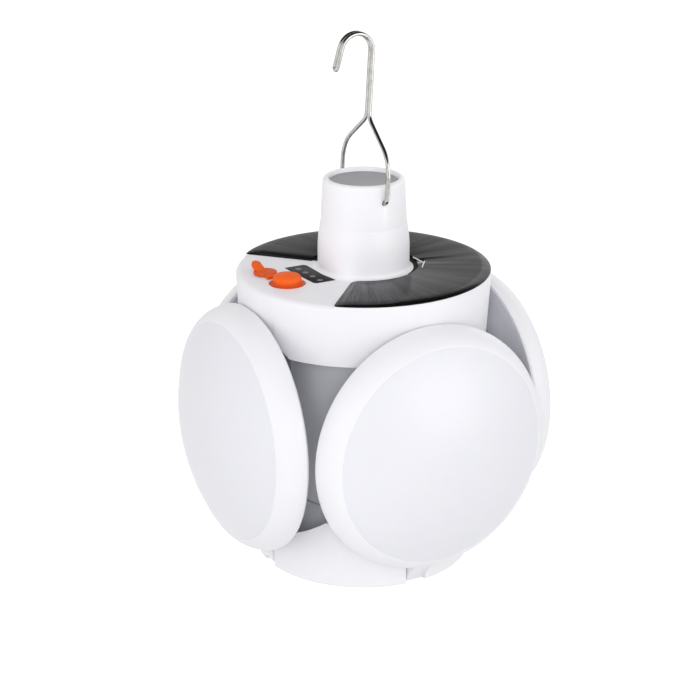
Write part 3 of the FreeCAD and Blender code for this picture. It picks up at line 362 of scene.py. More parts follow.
def grain_bump(tree, shader, height, depth, strength):
    bump = tree.nodes.new("ShaderNodeBump")
    bump.inputs["Strength"].default_value = strength
    bump.inputs["Distance"].default_value = depth * MM
    tree.links.new(height, bump.inputs["Height"])
    tree.links.new(bump.outputs["Normal"], shader.inputs["Normal"])


def moulded_finish(name, tint, drift_tint, gloss, grain, depth=0.02, strength=0.15, **settings):
    """A finish made with the moulding group."""
    material, tree, shader = new_finish(name, **settings)
    body = tree.nodes.new("ShaderNodeGroup")
    body.node_tree = moulding
    body.inputs["Tint"].default_value = (*tint, 1)
    body.inputs["Drift tint"].default_value = (*drift_tint, 1)
    body.inputs["Gloss low"].default_value, body.inputs["Gloss high"].default_value = gloss
    body.inputs["Grain per metre"].default_value = grain
    tree.links.new(body.outputs["Color"], shader.inputs["Base Color"])
    tree.links.new(body.outputs["Roughness"], shader.inputs["Roughness"])
    grain_bump(tree, shader, body.outputs["Height"], depth, strength)
    return material


def rubber_finish(name, tint, drift_tint, crease_shade_tint, gloss, grain, **settings):
    """Moulded rubber with painted shade: darker where it lies low, in the crease along the deck."""
    material = moulded_finish(name, tint, drift_tint, gloss, grain, 0.03, 0.25, **settings)
    tree = material.node_tree
    colour = tree.nodes["Principled BSDF"].inputs["Base Color"]
    height = split_node(tree, object_place(tree))["Z"]
    # Painted shade: below 1.6 mm above the deck, the colour blends up to three quarters of the way to a
    # darker tint
    low = spread_node(tree, height, DECK + 0.6 * MM, DECK + 1.6 * MM, 0.75, 0.0)
    tree.links.new(blend_node(tree, low, colour.links[0].from_socket, crease_shade_tint), colour)
    return material


def metal_finish(name, bright, dull, gloss, stretch):
    """A finish made with the drawn metal group."""
    material, tree, shader = new_finish(name, Metallic=1.0)
    body = tree.nodes.new("ShaderNodeGroup")
    body.node_tree = drawn_metal
    body.inputs["Bright"].default_value = (*bright, 1)
    body.inputs["Dull"].default_value = (*dull, 1)
    body.inputs["Gloss low"].default_value, body.inputs["Gloss high"].default_value = gloss
    body.inputs["Stretch"].default_value = stretch
    tree.links.new(body.outputs["Color"], shader.inputs["Base Color"])
    tree.links.new(body.outputs["Roughness"], shader.inputs["Roughness"])
    grain_bump(tree, shader, body.outputs["Height"], 0.01, 0.2)
    return material


def solar_finish():
    """Dark cells under clear resin: fine lines run out from the neck, with paler streaks among them, and a
    painted sheen lightens the lines towards the near end.
    """
    material, tree, shader = new_finish("solar_cells_under_resin", Specular_IOR_Level=0.0,
                                        Coat_Roughness=0.12)
    place = split_node(tree, object_place(tree))
    azimuth = math_node(tree, "ARCTAN2", place["Y"], place["X"])
    reach = distance_node(tree, place["X"], place["Y"])
    polar = tree.nodes.new("ShaderNodeCombineXYZ")
    tree.links.new(math_node(tree, "MULTIPLY", azimuth, 0.03), polar.inputs[0])
    tree.links.new(math_node(tree, "MULTIPLY", reach, 0.02), polar.inputs[1])
    fine = noise_node(tree, polar.outputs[0], 2200.0, 2, 0.5)
    broad = noise_node(tree, polar.outputs[0], 260.0, 3, 0.65)
    lines = spread_node(tree, fine, 0.4, 0.75)
    streaks = spread_node(tree, broad, 0.48, 0.78, 0.0, 0.5)
    cells = blend_node(tree, lines, (0.003, 0.0024, 0.0032), (0.022, 0.0195, 0.0225))
    cells = blend_node(tree, streaks, cells, (0.07, 0.066, 0.07))
    # Painted sheen: towards the near end the cells' own fine lines turn paler, standing in for a brighter
    # reflection in the resin
    near_end_sheen = spread_node(tree, azimuth, math.radians(-131), math.radians(-90), 0.5, 0.0)
    pale_lines_and_sheen = math_node(tree, "MULTIPLY", near_end_sheen, spread_node(tree, fine, 0.3, 0.62))
    cells = blend_node(tree, pale_lines_and_sheen, cells, (0.14, 0.134, 0.14))
    rim = spread_node(tree, reach, (DECK_RADIUS - 5) * MM, (DECK_RADIUS - 1.5) * MM, 0.0, 0.95)
    tree.links.new(blend_node(tree, rim, cells, (0.004, 0.004, 0.0042)), shader.inputs["Base Color"])
    tree.links.new(spread_node(tree, broad, 0.3, 0.7, 0.24, 0.36), shader.inputs["Roughness"])
    tree.links.new(spread_node(tree, broad, 0.3, 0.7, 0.36, 0.54), shader.inputs["Coat Weight"])
    grain_bump(tree, shader, fine, 0.02, 0.15)
    return material


def display_finish():
    """Smoked window: four pale indicator spots in a row lie under its dark face."""
    material, tree, shader = new_finish("smoked_window", Specular_IOR_Level=0.04)
    mapping = tree.nodes.new("ShaderNodeMapping")
    mapping.vector_type = "TEXTURE"
    mapping.inputs["Location"].default_value = (WINDOW_PLACE + Vector((-0.13, -0.95, 0))) * MM
    mapping.inputs["Rotation"].default_value = (0, 0, math.radians(2.5))
    tree.links.new(object_place(tree), mapping.inputs["Vector"])
    place = split_node(tree, mapping.outputs[0])
    pitch = 4.75 * MM
    along_row = math_node(tree, "FRACT", math_node(tree, "DIVIDE", place["Y"], pitch))
    beside = math_node(tree, "MULTIPLY", math_node(tree, "SUBTRACT", along_row, 0.5), pitch)
    spot = spread_node(tree, distance_node(tree, place["X"], beside), 0.75 * MM, 1.25 * MM, 1.0, 0.0)
    face = noise_node(tree, mapping.outputs[0], 240.0, 3)
    clouded = spread_node(tree, face, 0.35, 0.65)
    dark = blend_node(tree, clouded, (0.021, 0.021, 0.023), (0.031, 0.031, 0.034))
    tree.links.new(blend_node(tree, spot, dark, (0.2, 0.2, 0.21)), shader.inputs["Base Color"])
    tree.links.new(spread_node(tree, face, 0.3, 0.7, 0.3, 0.42), shader.inputs["Roughness"])
    return material


moulding = make_moulding()
drawn_metal = make_drawn_metal()
finishes = {
    "shell_white": moulded_finish("white_moulded_plastic", (0.865, 0.86, 0.892), (0.852, 0.847, 0.882),
                                  (0.34, 0.46), 2600.0),
    # The neck's collar and sleeve get a lighter copy of the white shell plastic: painted light that makes up
    # for the shade on the neck
    "lit_collar_white": moulded_finish("white_plastic_lit_collar", (0.909, 0.906, 0.938), (0.897, 0.895, 0.929),
                                   (0.34, 0.46), 2600.0),
    "core_grey": moulded_finish("grey_moulded_plastic", (0.56, 0.57, 0.61), (0.54, 0.55, 0.595),
                                (0.38, 0.5), 2200.0),
    "core_pale_grey": moulded_finish("pale_grey_moulded_plastic", (0.88, 0.885, 0.92), (0.86, 0.865, 0.905),
                                     (0.38, 0.5), 2200.0),
    "hub_pale_grey": moulded_finish("pale_grey_hub", (0.74, 0.75, 0.795), (0.72, 0.73, 0.78),
                                    (0.38, 0.5), 2200.0),
    "cap_grey": moulded_finish("grey_cap", (0.385, 0.385, 0.395), (0.335, 0.335, 0.35), (0.4, 0.55), 1800.0),
    "diffuser_white": moulded_finish("frosted_lens", (0.815, 0.798, 0.842), (0.803, 0.787, 0.834),
                                     (0.3, 0.36), 4200.0, Subsurface_Weight=0.15, Subsurface_Scale=0.004),
    "solar_cells": solar_finish(),
    "black_resin": moulded_finish("black_resin", (0.008, 0.008, 0.0085), (0.014, 0.014, 0.015),
                                  (0.5, 0.65), 900.0, Specular_IOR_Level=0.1),
    "display_dark": display_finish(),
    # Orange rubber: its third colour is the painted shade in the crease along the deck
    "orange_rubber": rubber_finish("orange_rubber", (0.96, 0.135, 0.013), (0.9, 0.118, 0.011),
                                   (0.6, 0.07, 0.012), (0.46, 0.6), 2000.0, Specular_IOR_Level=0.15),
    "hook_chrome": metal_finish("plated_wire", (0.5, 0.487, 0.47), (0.2, 0.195, 0.19),
                                (0.06, 0.16), (1, 1, 0.08)),
    "screw_steel": metal_finish("zinc_screw", (0.6, 0.6, 0.62), (0.45, 0.45, 0.47),
                                (0.25, 0.45), (1, 1, 1)),
    "socket_nickel": metal_finish("nickel_sheet", (0.66, 0.64, 0.6), (0.5, 0.48, 0.45),
                                  (0.18, 0.38), (0.1, 1, 1)),
    "circuit_board": moulded_finish("green_board", (0.02, 0.12, 0.045), (0.03, 0.16, 0.06),
                                    (0.3, 0.45), 900.0),
    "led_board_white": moulded_finish("white_light_board", (0.8, 0.8, 0.79), (0.74, 0.74, 0.74),
                                      (0.4, 0.55), 700.0),
    "led_chip": moulded_finish("light_chip", (0.8, 0.6, 0.12), (0.75, 0.5, 0.08), (0.3, 0.45), 1500.0),
    "switch_black": moulded_finish("black_switch", (0.015, 0.015, 0.015), (0.03, 0.03, 0.03),
                                   (0.4, 0.55), 1800.0),
    "cell_wrap": moulded_finish("blue_cell_wrap", (0.02, 0.08, 0.3), (0.03, 0.1, 0.36), (0.2, 0.32), 600.0),
    "lead_white": moulded_finish("white_lead", (0.78, 0.78, 0.78), (0.7, 0.7, 0.7), (0.35, 0.5), 2400.0),
}
for subpart in frame["record"]["subparts"]:
    for entry in frame["nodes"][subpart["node"]].material_slots:
        entry.material = finishes[subpart["material_slot"]]


# Hanging hook: one wire, bent from its end in the neck to the fold of its tail, and mirrored

def make_hook():
    wire_radius = 0.75
    half_pitch = 0.85
    pin_end = 11.4
    spread = 15.45
    leg_bend = 1.6
    leg_rise = 8.5
    shoulder = 12
    fork = 5
    slope = math.radians(52)
    shank = 48.2
    curl = 5.85
    flare = math.radians(13)
    tail = 6.5
    lean = 3.3
    pivot = -52.595
    quarter = math.radians(90)

    bpy.ops.object.select_all(action="DESELECT")
    bpy.ops.mesh.primitive_circle_add(vertices=20, radius=wire_radius * MM, fill_type="NGON",
                                      location=(0, pin_end * MM, 0), rotation=(quarter, 0, 0))
    wire = bpy.context.object
    wire.name = "wire_hook"
    bpy.ops.object.transform_apply(location=True, rotation=True, scale=True)
    bpy.ops.object.mode_set(mode="EDIT")
    bpy.ops.mesh.select_all(action="SELECT")

    def run(y, z, x=0.0):
        bpy.ops.mesh.extrude_region_move(TRANSFORM_OT_translate={"value": Vector((x, y, z)) * MM})

    def bend(middle, axis, angle, steps):
        bpy.ops.mesh.spin(steps=steps, angle=-angle, center=Vector(middle) * MM, axis=axis)

    run(spread - leg_bend - pin_end, 0)
    bend((0, spread - leg_bend, leg_bend), (1, 0, 0), quarter, 8)
    run(0, leg_rise - leg_bend)
    bend((0, spread - shoulder, leg_rise), (1, 0, 0), slope, 12)
    shoulder_end = Vector((spread - shoulder * (1 - math.cos(slope)),
                           leg_rise + shoulder * math.sin(slope)))
    length = (shoulder_end.x - fork * (1 - math.cos(slope)) - half_pitch) / math.sin(slope)
    run(-math.sin(slope) * length, math.cos(slope) * length)
    fork_end = shoulder_end.y + math.cos(slope) * length + fork * math.sin(slope)
    bend((0, half_pitch + fork, fork_end), (-1, 0, 0), slope, 10)
    run(0, shank - fork_end)
    bend((-curl, half_pitch, shank), (0, -1, 0), math.pi - flare, 28)
    run(0, -math.cos(flare) * tail, -math.sin(flare) * tail)
    tip = Vector((curl * (math.cos(math.pi - flare) - 1) - math.sin(flare) * tail, 0,
                  shank + curl * math.sin(flare) - math.cos(flare) * tail))
    bend(tip, (-math.cos(flare), 0, math.sin(flare)), quarter, 6)
    bpy.ops.mesh.delete(type="FACE")
    close_piece()
    mirror = wire.modifiers.new("OtherHalf", "MIRROR")
    mirror.use_axis = (False, True, False)
    mirror.use_clip = True
    mirror.merge_threshold = 0.02 * MM
    apply_modifier(wire, mirror)
    settle(wire, (0, 0, pivot * MM), (0, lean, 0))
    smooth(wire, 40)
    finish_piece(wire, "hook", "hook_chrome", "hanging_hook")


# Head: deck and skirt with four scallops, and the openings for the controls

def make_head():
    edge = 2
    skirt_depth = 20.9
    skirt_radius = 42.2
    scallop_radius = 37.4
    slope = math.tan(math.radians(30))
    inner, outer = DECK_RADIUS - 13, DECK_RADIUS + 4
    bed_inner = DECK_RADIUS - edge - 0.8
    bed_chamfer = 0.2
    button_seat, button_seat_depth, stem_bore = 6.15, 1.1, 2.75
    port_low, port_high = Vector((-3.2, -1.3, -5)), Vector((3.2, 2.2, 5))

    head = turned("head_shell_white", [
        (COLLAR_BORE, -WALL),
        (DECK_RADIUS - WALL, -WALL),
        (skirt_radius - WALL, -skirt_depth),
        (skirt_radius, -skirt_depth),
        *arc(DECK_RADIUS - edge, -edge, edge, 0, 90, 12),
        (COLLAR_BORE, 0),
    ], 192)
    bed = turned_part("panel_bed", [
        (bed_inner, -edge),
        (DECK_RADIUS, -edge),
        (DECK_RADIUS, -bed_chamfer),
        (DECK_RADIUS - bed_chamfer, 0),
        (bed_inner, 0),
    ], PANEL_START, PANEL_SWEEP, PANEL_STEPS)
    combine(head, bed, "UNION")
    for turn in range(4):
        scallop = rod_tool(scallop_radius - (DECK_RADIUS - inner) * slope, outer - inner, (0, 0, 0),
                           vertices=192, far_radius=scallop_radius + (outer - DECK_RADIUS) * slope)
        settle(scallop, (0, 0, (inner + outer) / 2 * MM))
        settle(scallop, (0, 0, PETAL_LEVEL - DECK), (90, 0, 90 * turn))
        combine(head, scallop)
    combine(head, rod_tool(button_seat, 2 * button_seat_depth, BUTTON_PLACE))
    combine(head, rod_tool(stem_bore, 20, BUTTON_PLACE, vertices=32))
    combine(head, box_tool(PORT_PLACE + port_low, PORT_PLACE + port_high))
    window_seat = slab("window_seat", WINDOW_OUTLINE, -WINDOW_DEPTH, WINDOW_DEPTH)
    combine(head, settle(window_seat, WINDOW_PLACE * MM))
    settle(head, (0, 0, DECK))
    soften(head, 0.35, 3, 32)
    finish_piece(head, "lamp_body", "shell_white", "head_shell")


# Neck: collar, sleeve with the holes for the hook, and the bare disc on top

def make_neck():
    collar_side, collar_foot = 15.6, 1.8
    collar_lip, collar_top, collar_seat = 14.62, 16.2, 15.2
    sleeve_radius, sleeve_bore = 14.6, 12.2
    rim_round = 1.55
    hook_hole, hook_level = 0.9, 25.8
    cap_radius, cap_seat, cap_face, cap_rim = 11.8, 29.2, 30.15, 30.3
    ledge, ledge_low = 11, 27.5

    collar = turned("neck_collar_white", [
        (COLLAR_BORE, 0),
        *arc(collar_side + collar_foot, collar_foot, collar_foot, 270, 180, 10),
        (collar_side, 8.5),
        (15.3, 12.2),
        (14.74, 16.1),
        (collar_lip, collar_top),
        (collar_lip, collar_seat),
        (COLLAR_BORE, collar_seat),
    ], 128)
    settle(collar, (0, 0, DECK))
    smooth(collar, 40)
    # The collar takes the lighter copy of the white plastic, which is painted light
    finish_piece(collar, "lamp_body", "shell_white", "neck_collar", "lit_collar_white")

    sleeve = turned("neck_sleeve_white", [
        (sleeve_bore, -WALL),
        (sleeve_radius, -WALL),
        (sleeve_radius, collar_top),
        *arc(12.35, 30.15, rim_round, 0, 90, 10),
        (11.95, 31.5),
        (11.85, 31.1),
        (11.85, cap_seat),
        (ledge, cap_seat),
        (ledge, ledge_low),
        (sleeve_bore, ledge_low),
    ], 128)
    combine(sleeve, rod_tool(hook_hole, 40, (0, 0, hook_level), (90, 0, 0), 32))
    settle(sleeve, (0, 0, DECK))
    soften(sleeve, 0.15, 2, 40)
    # The sleeve takes the lighter copy of the white plastic, which is painted light
    finish_piece(sleeve, "lamp_body", "shell_white", "neck_sleeve", "lit_collar_white")

    cap = turned("neck_cap_disc", [
        (0, cap_seat),
        (cap_radius, cap_seat),
        (cap_radius, cap_rim),
        (cap_radius - 0.6, cap_rim),
        (cap_radius - 0.9, cap_face),
        (0, cap_face),
    ], 128)
    settle(cap, (0, 0, DECK))
    soften(cap, 0.12, 2, 20)
    finish_piece(cap, "lamp_body", "cap_grey", "neck_cap")


# Solar panel with the notch for its leads, and the film of resin along the collar

def lower_ring(piece, azimuth, half_step, share):
    """Bring the points at one azimuth, in degrees, down to a share of their height."""
    bpy.ops.object.mode_set(mode="EDIT")
    bpy.ops.mesh.select_mode(type="VERT")
    bpy.ops.mesh.select_all(action="DESELECT")
    bpy.ops.object.mode_set(mode="OBJECT")
    for point in piece.data.vertices:
        away = math.degrees(math.atan2(point.co.y, point.co.x)) - azimuth
        point.select = abs((away + 180) % 360 - 180) < half_step
    bpy.ops.object.mode_set(mode="EDIT")
    bpy.ops.transform.resize(value=(1, 1, share), center_override=(0, 0, 0))
    bpy.ops.object.mode_set(mode="OBJECT")


def lead_wire(start, end):
    """A short thin wire laid flat between two (x, y) points."""
    lead_radius = 0.23
    way = Vector(end) - Vector(start)
    middle = (Vector(start) + Vector(end)) / 2
    azimuth = math.degrees(math.atan2(way.y, way.x))
    return rod_tool(lead_radius, way.length, (*middle, 0), (90, 0, azimuth - 90), 16)


def make_panel():
    inner = 18.8
    outer = DECK_RADIUS - 0.15
    low, rim, top = 0.02, 0.1, 1.05
    rounding = 5
    corner = 1.5
    lead_notch, lead_azimuth, lead_level = 2.6, -20, 1.15
    film_start, film_sweep, film_steps = -58, 188, 94
    panel_end = PANEL_START + PANEL_SWEEP
    step = PANEL_SWEEP / PANEL_STEPS

    resin_edge = [(outer - rounding + across * rounding, rim + up * (top - rim))
                  for across, up in arc(0, 0, 1, 0, 90, 12)]
    panel = turned_part("solar_panel_plate", [(inner, low), (outer, low), *resin_edge, (inner, top)],
                        PANEL_START, PANEL_SWEEP, PANEL_STEPS)
    for ring, share in enumerate((0.15, 0.5, 0.72, 0.87, 0.95)):
        for azimuth in (PANEL_START + ring * step, panel_end - ring * step):
            lower_ring(panel, azimuth, step / 2, share)
    turn = math.radians(lead_azimuth)
    combine(panel, rod_tool(lead_notch, 8, (inner * math.cos(turn), inner * math.sin(turn), 0)))
    for end, side in ((PANEL_START, 1), (panel_end, -1)):
        cutter = box_tool((outer - corner, -side, -4), (outer + 1, corner * side, 4))
        combine(cutter, rod_tool(corner, 12, (outer - corner, corner * side, 0)))
        combine(panel, settle(cutter, (0, 0, 0), (0, 0, end)))
    settle(panel, (0, 0, DECK))
    soften(panel, 0.25, 3, 40)
    finish_piece(panel, "lamp_body", "solar_cells", "solar_panel")

    resin = turned_part("lead_resin", [(16.9, low), (18.75, low), (18.75, 0.4), (17.2, 0.25)],
                        film_start, film_sweep, film_steps)
    settle(resin, (0, 0, DECK))
    soften(resin, 0.1, 2, 25)
    finish_piece(resin, "lamp_body", "solar_cells", None, "black_resin")

    leads = lead_wire((18.24, -2.46), (18.26, -9.35))
    combine(leads, lead_wire((19.31, -8.11), (15.06, -13.52)), "UNION")
    leads.name = "lead_wires"
    settle(leads, (0, 0, DECK + lead_level * MM))
    smooth(leads, 50)
    finish_piece(leads, "lamp_body", "lead_white", "solar_leads")


# Display window, button, strap and port cover

def make_controls():
    window_proud = 0.2
    window = slab("display_window_smoked", WINDOW_OUTLINE, -WINDOW_DEPTH, window_proud)
    settle(window, WINDOW_PLACE * MM + Vector((0, 0, DECK)))
    soften(window, 0.2, 3)
    finish_piece(window, "lamp_body", "display_dark", "display_window")

    stem, stem_end = 2.4, -2.5
    skirt, skirt_low, skirt_top = 5.8, -0.2, 0.05
    root = 0.3
    dome_flat, dome_level = 3.4, 1.6
    shoulder, tilt = 1.4, 75
    crown_start = dome_flat + shoulder * math.cos(math.radians(tilt))
    crown = crown_start / math.cos(math.radians(tilt))
    middle = dome_level + (shoulder - crown) * math.sin(math.radians(tilt))
    button = turned("push_button_orange", [
        (0, stem_end),
        (stem, stem_end),
        (stem, skirt_low),
        (skirt, skirt_low),
        (skirt, skirt_top),
        *arc(dome_flat + shoulder + root, skirt_top + root, root, 270, 180, 4),
        *arc(dome_flat, dome_level, shoulder, 0, tilt, 8),
        *arc(0, middle, crown, tilt, 90, 4)[1:],
    ], 96)
    settle(button, BUTTON_PLACE * MM + Vector((0, 0, DECK)))
    soften(button, 0.2, 3, 50)
    finish_piece(button, "button", "orange_rubber", "switch_button")

    side, near, far, thickness = 2.2, 2.55, 4.25, 1.2
    strap = slab("rubber_strap", [(-side, near), (side, near), (side, far), (-side, far)], 0, thickness)
    settle(strap, Vector((PORT_PLACE.x * MM, 0, DECK)))
    soften(strap, 0.4, 3)
    finish_piece(strap, "lamp_body", "orange_rubber", "button_strap")

    foot, foot_low, foot_top = 3.9, 0.3, 1.0
    tab_side, tab_root, tab_reach, tab_thickness = 1.6, 0.6, 5.6, 1.1
    tab_rise = 20
    plug = turned("port_cover_orange", [
        (0, foot_low),
        (foot, foot_low),
        (foot, foot_top),
        (0, foot_top),
    ], 64)
    combine(plug, box_tool((-2.8, -0.9, -1.8), (2.8, 0.9, 0.6)), "UNION")
    tab = slab("pull_tab", [
        (-tab_side, tab_root),
        *arc(0, tab_reach, tab_side, 180, 0, 12),
        (tab_side, tab_root),
    ], -tab_thickness, 0)
    settle(tab, Vector((-1, -0.6, 0.75)) * MM, (tab_rise, 0, 0))
    combine(plug, tab, "UNION")
    settle(plug, PORT_PLACE * MM + Vector((0, 0, DECK)))
    soften(plug, 0.3, 3, 35)
    finish_piece(plug, "plug", "orange_rubber", "port_plug")


# Core: floor of the head, housing and hub

def make_core():
    bore, radius, shoulder = 23, 25, 5
    floor_radius, floor_low, floor_top = 39.6, -11.4, -9.6
    seam = -79.5
    spigot, spigot_top = 22.85, -77.8
    hub_top, hub_floor, hub_low = -80.15, -82, -98
    flange, flange_top = 27.6, -96

    plate = turned("head_floor_grey", [
        (bore, floor_low),
        (floor_radius, floor_low),
        (floor_radius, floor_top),
        (bore, floor_top),
    ])
    settle(plate, (0, 0, DECK))
    soften(plate, 0.3, 2)
    finish_piece(plate, "lamp_body", "core_grey", "head_floor")

    core = turned("core_housing_grey", [
        (bore, floor_low),
        (bore, seam),
        (radius, seam),
        *arc(radius + shoulder, floor_low - shoulder, shoulder, 180, 90, 10),
    ])
    settle(core, (0, 0, DECK))
    soften(core, 0.2, 2, 40)
    finish_piece(core, "lamp_body", "core_grey", "core_housing", "core_pale_grey")

    hub = turned("base_hub_grey", [
        (0, hub_floor),
        (bore, hub_floor),
        (bore, hub_low),
        (flange, hub_low),
        (flange, flange_top),
        (radius, flange_top),
        (radius, hub_top),
        (spigot, hub_top),
        (spigot, spigot_top),
        (0, spigot_top),
    ])
    settle(hub, (0, 0, DECK))
    soften(hub, 0.2, 2, 40)
    finish_piece(hub, "lamp_body", "core_grey", "base_hub", "hub_pale_grey")


# Bottom cup: scalloped wall, hinge cheeks and slits, and the lens below

def lens_arc(radius, level, curve, side):
    """Points of a shallow dome from its rim to its crown; side is 1 for up and -1 for down."""
    steps = 18
    half = math.asin(radius / curve)
    middle = level - side * math.sqrt(curve ** 2 - radius ** 2)
    angles = [half * (1 - step / steps) for step in range(steps + 1)]
    return [(curve * math.sin(angle), middle + side * curve * math.cos(angle)) for angle in angles]


def make_cup():
    bottom, floor_low, floor_top = -103.1, -100, -98
    foot_round = 1.2
    wall_top = -79.2
    lens_seat = 29.35
    scallop = 38.7
    cheek_side, cheek_out, cheek_in, cheek_top = 7.4, -36.2, -30.25, -95.2
    notch_side, notch_top = 3.9, -91.8

    cup = turned("bottom_cup_white", [
        (0, floor_low),
        (lens_seat, floor_low),
        (lens_seat, bottom),
        *arc(36.2, bottom + foot_round, foot_round, 270, 360, 6),
        (38.2, wall_top),
        (36, wall_top),
        (35.2, floor_top),
        (0, floor_top),
    ], 192)
    for turn in range(4):
        cheek = box_tool((-cheek_side, cheek_out, floor_low), (cheek_side, cheek_in, cheek_top))
        combine(cup, settle(cheek, (0, 0, 0), (0, 0, 90 * turn)), "UNION")
    for turn in range(2):
        combine(cup, rod_tool(scallop, 120, (0, 0, -PETAL_DROP), (90, 0, 90 * turn), 192))
    for turn in range(4):
        notch = box_tool((-notch_side, -45, -120), (notch_side, cheek_in, notch_top))
        combine(cup, settle(notch, (0, 0, 0), (0, 0, 90 * turn)))
        pin_bore = rod_tool(PIN_RADIUS + 0.02, 13.8, (0, -HINGE_OUT, -HINGE_DROP), (0, 90, 0), 32)
        combine(cup, settle(pin_bore, (0, 0, 0), (0, 0, 90 * turn)))
    settle(cup, (0, 0, DECK))
    soften(cup, 0.3, 2, 35)
    finish_piece(cup, "lamp_body", "shell_white", "bottom_cup")

    radius, height, wall = 29.2, 6, 1.5
    curve = (radius ** 2 + height ** 2) / (2 * height)
    bore = radius - wall
    inner_height = height - wall
    inner_curve = (bore ** 2 + inner_height ** 2) / (2 * inner_height)
    lens = turned("bottom_lens", [
        (bore, floor_low),
        *lens_arc(bore, bottom, inner_curve, -1),
        *reversed(lens_arc(radius, bottom, curve, -1)),
        (radius, floor_low),
    ], 128)
    settle(lens, (0, 0, DECK))
    smooth(lens)
    finish_piece(lens, "lamp_body", "diffuser_white", "bottom_diffuser")


# Petals: modelled facing up, then turned to face out of the lamp

def dish_round(first_radius, first_level, last_radius, last_level, radius):
    """Points of the rounded corner of a dish, from its back to its waist."""
    start, end = Vector((first_radius, first_level)), Vector((last_radius, last_level))
    way = end - start
    inward = Vector((-way.y, way.x)).normalized()
    middle = (start + end) / 2 + inward * math.sqrt(radius ** 2 - (way.length / 2) ** 2)
    angles = [math.degrees(math.atan2(*reversed(point - middle))) for point in (start, end)]
    return arc(middle.x, middle.y, radius, *angles, steps=6)


def make_petals():
    reach = 44.2
    rear = reach - 0.7
    crown = reach + 9
    radius = 42.4
    bore = radius - 3.7
    rebate = radius - 1.8
    mouth = LENS_RADIUS + 0.15
    tip = mouth + 0.45
    ledge = crown - 2.2
    dish_front = rear + 1.8
    fall = radius - tip
    curve = (fall ** 2 + (crown - reach) ** 2) / (2 * fall)
    half = math.degrees(math.asin((crown - reach) / curve))
    hinge_below = HINGE_DROP - PETAL_DROP
    knuckle = 3.4
    knuckle_half = 3.55

    bezel = turned("petal_bezel", [
        (rebate, rear),
        (radius - 0.4, rear),
        *arc(radius - curve, reach, curve, 0, half, 14),
        (mouth, crown),
        (mouth, ledge),
        (bore, ledge),
        (bore, dish_front),
        (rebate, dish_front),
    ], 192)
    arm_middle = radius - 0.9
    rise, run = hinge_below - arm_middle, reach - HINGE_OUT
    swing = math.degrees(math.atan2(rise, run))
    arm = slab("hinge_arm", [
        (reach, -arm_middle - 0.6),
        (reach, -arm_middle + 0.6),
        *arc(HINGE_OUT, -hinge_below, knuckle, swing + 90, swing + 270, 20),
    ], -knuckle_half, knuckle_half)
    settle(arm, (0, 0, 0), (0, -90, 0))
    combine(bezel, arm, "UNION")
    combine(bezel, rod_tool(PIN_RADIUS + 0.06, 20, (0, -hinge_below, HINGE_OUT), (0, 90, 0), 32))
    soften(bezel, 0.3, 3, 30)

    dish_flat, dish_radius = 28, rebate - 0.3
    dish_back = rear - 5.9
    dish_inside = rear - 4.1
    dish = turned("petal_dish", [
        (0, dish_back),
        *dish_round(dish_flat, dish_back, 33, rear - 3.4, 6),
        (36.5, rear - 0.4),
        (dish_radius, rear),
        (dish_radius, dish_front),
        (36.1, dish_front),
        (32.1, rear - 2.5),
        (dish_flat, dish_inside),
        (0, dish_inside),
    ])
    soften(dish, 0.2, 2, 35)

    flat = 1.5
    lens_height = 10.3
    cover = LENS_RADIUS + 0.5
    lens_curve = (cover ** 2 + lens_height ** 2) / (2 * lens_height)
    inner_radius = LENS_RADIUS - flat
    inner_height = lens_height - flat * 0.75
    inner_curve = (inner_radius ** 2 + inner_height ** 2) / (2 * inner_height)
    flange = LENS_RADIUS + 1.45
    flange_low, flange_top = ledge - 1.25, ledge - 0.15
    lens = turned("petal_lens", [
        (inner_radius, flange_low),
        (flange, flange_low),
        (flange, flange_top),
        (LENS_RADIUS, flange_top),
        (LENS_RADIUS, crown - 0.4),
        *lens_arc(cover, crown - 0.06, lens_curve, 1),
        *reversed(lens_arc(inner_radius, crown - flat / 4, inner_curve, 1)),
    ], 192)
    smooth(lens)

    for model, part, slot in ((bezel, "bezel", "shell_white"), (dish, "back", "core_grey"),
                              (lens, "diffuser", "diffuser_white")):
        for turn, petal in enumerate(PETALS):
            pick(model)
            bpy.ops.object.duplicate()
            piece = bpy.context.object
            piece.name = "%s_%s" % (model.name, petal)
            settle(piece, (0, 0, PETAL_LEVEL), (90, 0, 90 * turn))
            finish_piece(piece, "petal_" + petal, slot, "petal_%s_%s" % (petal, part))
        bpy.data.meshes.remove(model.data)


# Floor, lights and camera

def seen_directly(tree):
    """One for rays that show the background: from the camera, in gloss and through clear pieces."""
    path = tree.nodes.new("ShaderNodeLightPath")
    seen = math_node(tree, "MAXIMUM", path.outputs["Is Camera Ray"], path.outputs["Is Glossy Ray"])
    return math_node(tree, "MAXIMUM", seen, path.outputs["Is Transmission Ray"])


def make_stage():
    floor_size, floor_below, floor_glow = 12, 0.22, 0.55
    low = cad_box[0]
    bpy.ops.object.select_all(action="DESELECT")
    bpy.ops.mesh.primitive_plane_add(size=floor_size, location=(0, 0, low[2] - floor_below))
    floor = bpy.context.object
    floor.name = "pale_floor"
    material = bpy.data.materials.new("pale_floor")
    material.use_nodes = True
    tree = material.node_tree
    tree.nodes.clear()
    plain = tree.nodes.new("ShaderNodeBsdfDiffuse")
    plain.inputs["Color"].default_value = (0.75, 0.75, 0.75, 1)
    glow = tree.nodes.new("ShaderNodeEmission")
    tree.links.new(math_node(tree, "MULTIPLY", seen_directly(tree), floor_glow), glow.inputs["Strength"])
    both = tree.nodes.new("ShaderNodeAddShader")
    tree.links.new(plain.outputs[0], both.inputs[0])
    tree.links.new(glow.outputs[0], both.inputs[1])
    tree.links.new(both.outputs[0], tree.nodes.new("ShaderNodeOutputMaterial").inputs["Surface"])
    floor.data.materials.append(material)


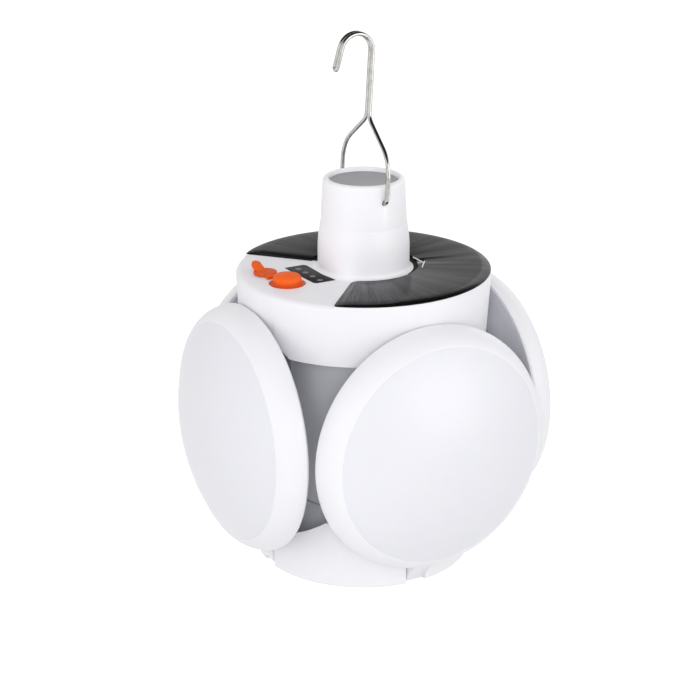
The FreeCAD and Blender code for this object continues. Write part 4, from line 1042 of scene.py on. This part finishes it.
def make_lights():
    """White background, a dark ceiling that only gloss shows, and five softboxes round the lamp."""
    world = bpy.data.worlds.new("studio")
    bpy.context.scene.world = world
    world.use_nodes = True
    tree = world.node_tree
    tree.nodes.clear()
    sky = tree.nodes.new("ShaderNodeBackground")
    sky.inputs["Color"].default_value = (1, 1, 1, 1)
    upward = split_node(tree, tree.nodes.new("ShaderNodeTexCoord").outputs["Generated"])["Z"]
    level = spread_node(tree, upward, 0.0, 1.0, 0.93, 0.64)
    ceiling = spread_node(tree, upward, 0.42, 0.62, 1.0, 0.03)
    in_gloss = tree.nodes.new("ShaderNodeLightPath").outputs["Is Glossy Ray"]
    shown = spread_node(tree, in_gloss, 0.0, 1.0, 1.0, ceiling)
    tree.links.new(spread_node(tree, seen_directly(tree), 0.0, 1.0, level, shown), sky.inputs["Strength"])
    tree.links.new(sky.outputs[0], tree.nodes.new("ShaderNodeOutputWorld").inputs["Surface"])
    middle = Vector((0, 0, PETAL_LEVEL))
    for name, place, size, power in (
        ("key_softbox", (-1.05, -0.35, 0.2), 1.0, 1.4),
        ("front_softbox", (-0.42, -0.75, 0.14), 0.3, 2.15),
        ("fill_softbox", (0.95, -0.6, 0.1), 0.8, 1.4),
        ("back_softbox", (0.75, 0.55, 0.15), 0.5, 0.5),
        ("lens_softbox", (0.36, -0.92, 0.1), 0.7, 2.7),
    ):
        light = bpy.data.lights.new(name, "AREA")
        light.size = size
        light.energy = power
        lamp = bpy.data.objects.new(name, light)
        bpy.context.scene.collection.objects.link(lamp)
        lamp.location = place
        lamp.visible_glossy = name != "front_softbox"
        lamp.visible_diffuse = name != "lens_softbox"
        lamp.rotation_euler = (middle - Vector(place)).to_track_quat("-Z", "Y").to_euler()


def make_camera():
    camera = bpy.data.cameras.new("photo_view")
    camera.lens = 102.83
    camera.sensor_width = 36
    viewer = bpy.data.objects.new("photo_view", camera)
    bpy.context.scene.collection.objects.link(viewer)
    viewer.location = Vector((-317.52, -564.43, 208.8)) * MM + Vector((0, 0, DECK))
    viewer.rotation_euler = [math.radians(angle) for angle in (69.7368, -0.0443, -28.9391)]
    bpy.context.scene.camera = viewer


make_hook()
make_head()
make_neck()
make_panel()
make_controls()
make_core()
make_cup()
make_petals()
make_stage()
make_lights()
make_camera()
bpy.context.scene.view_settings.view_transform = "Standard"
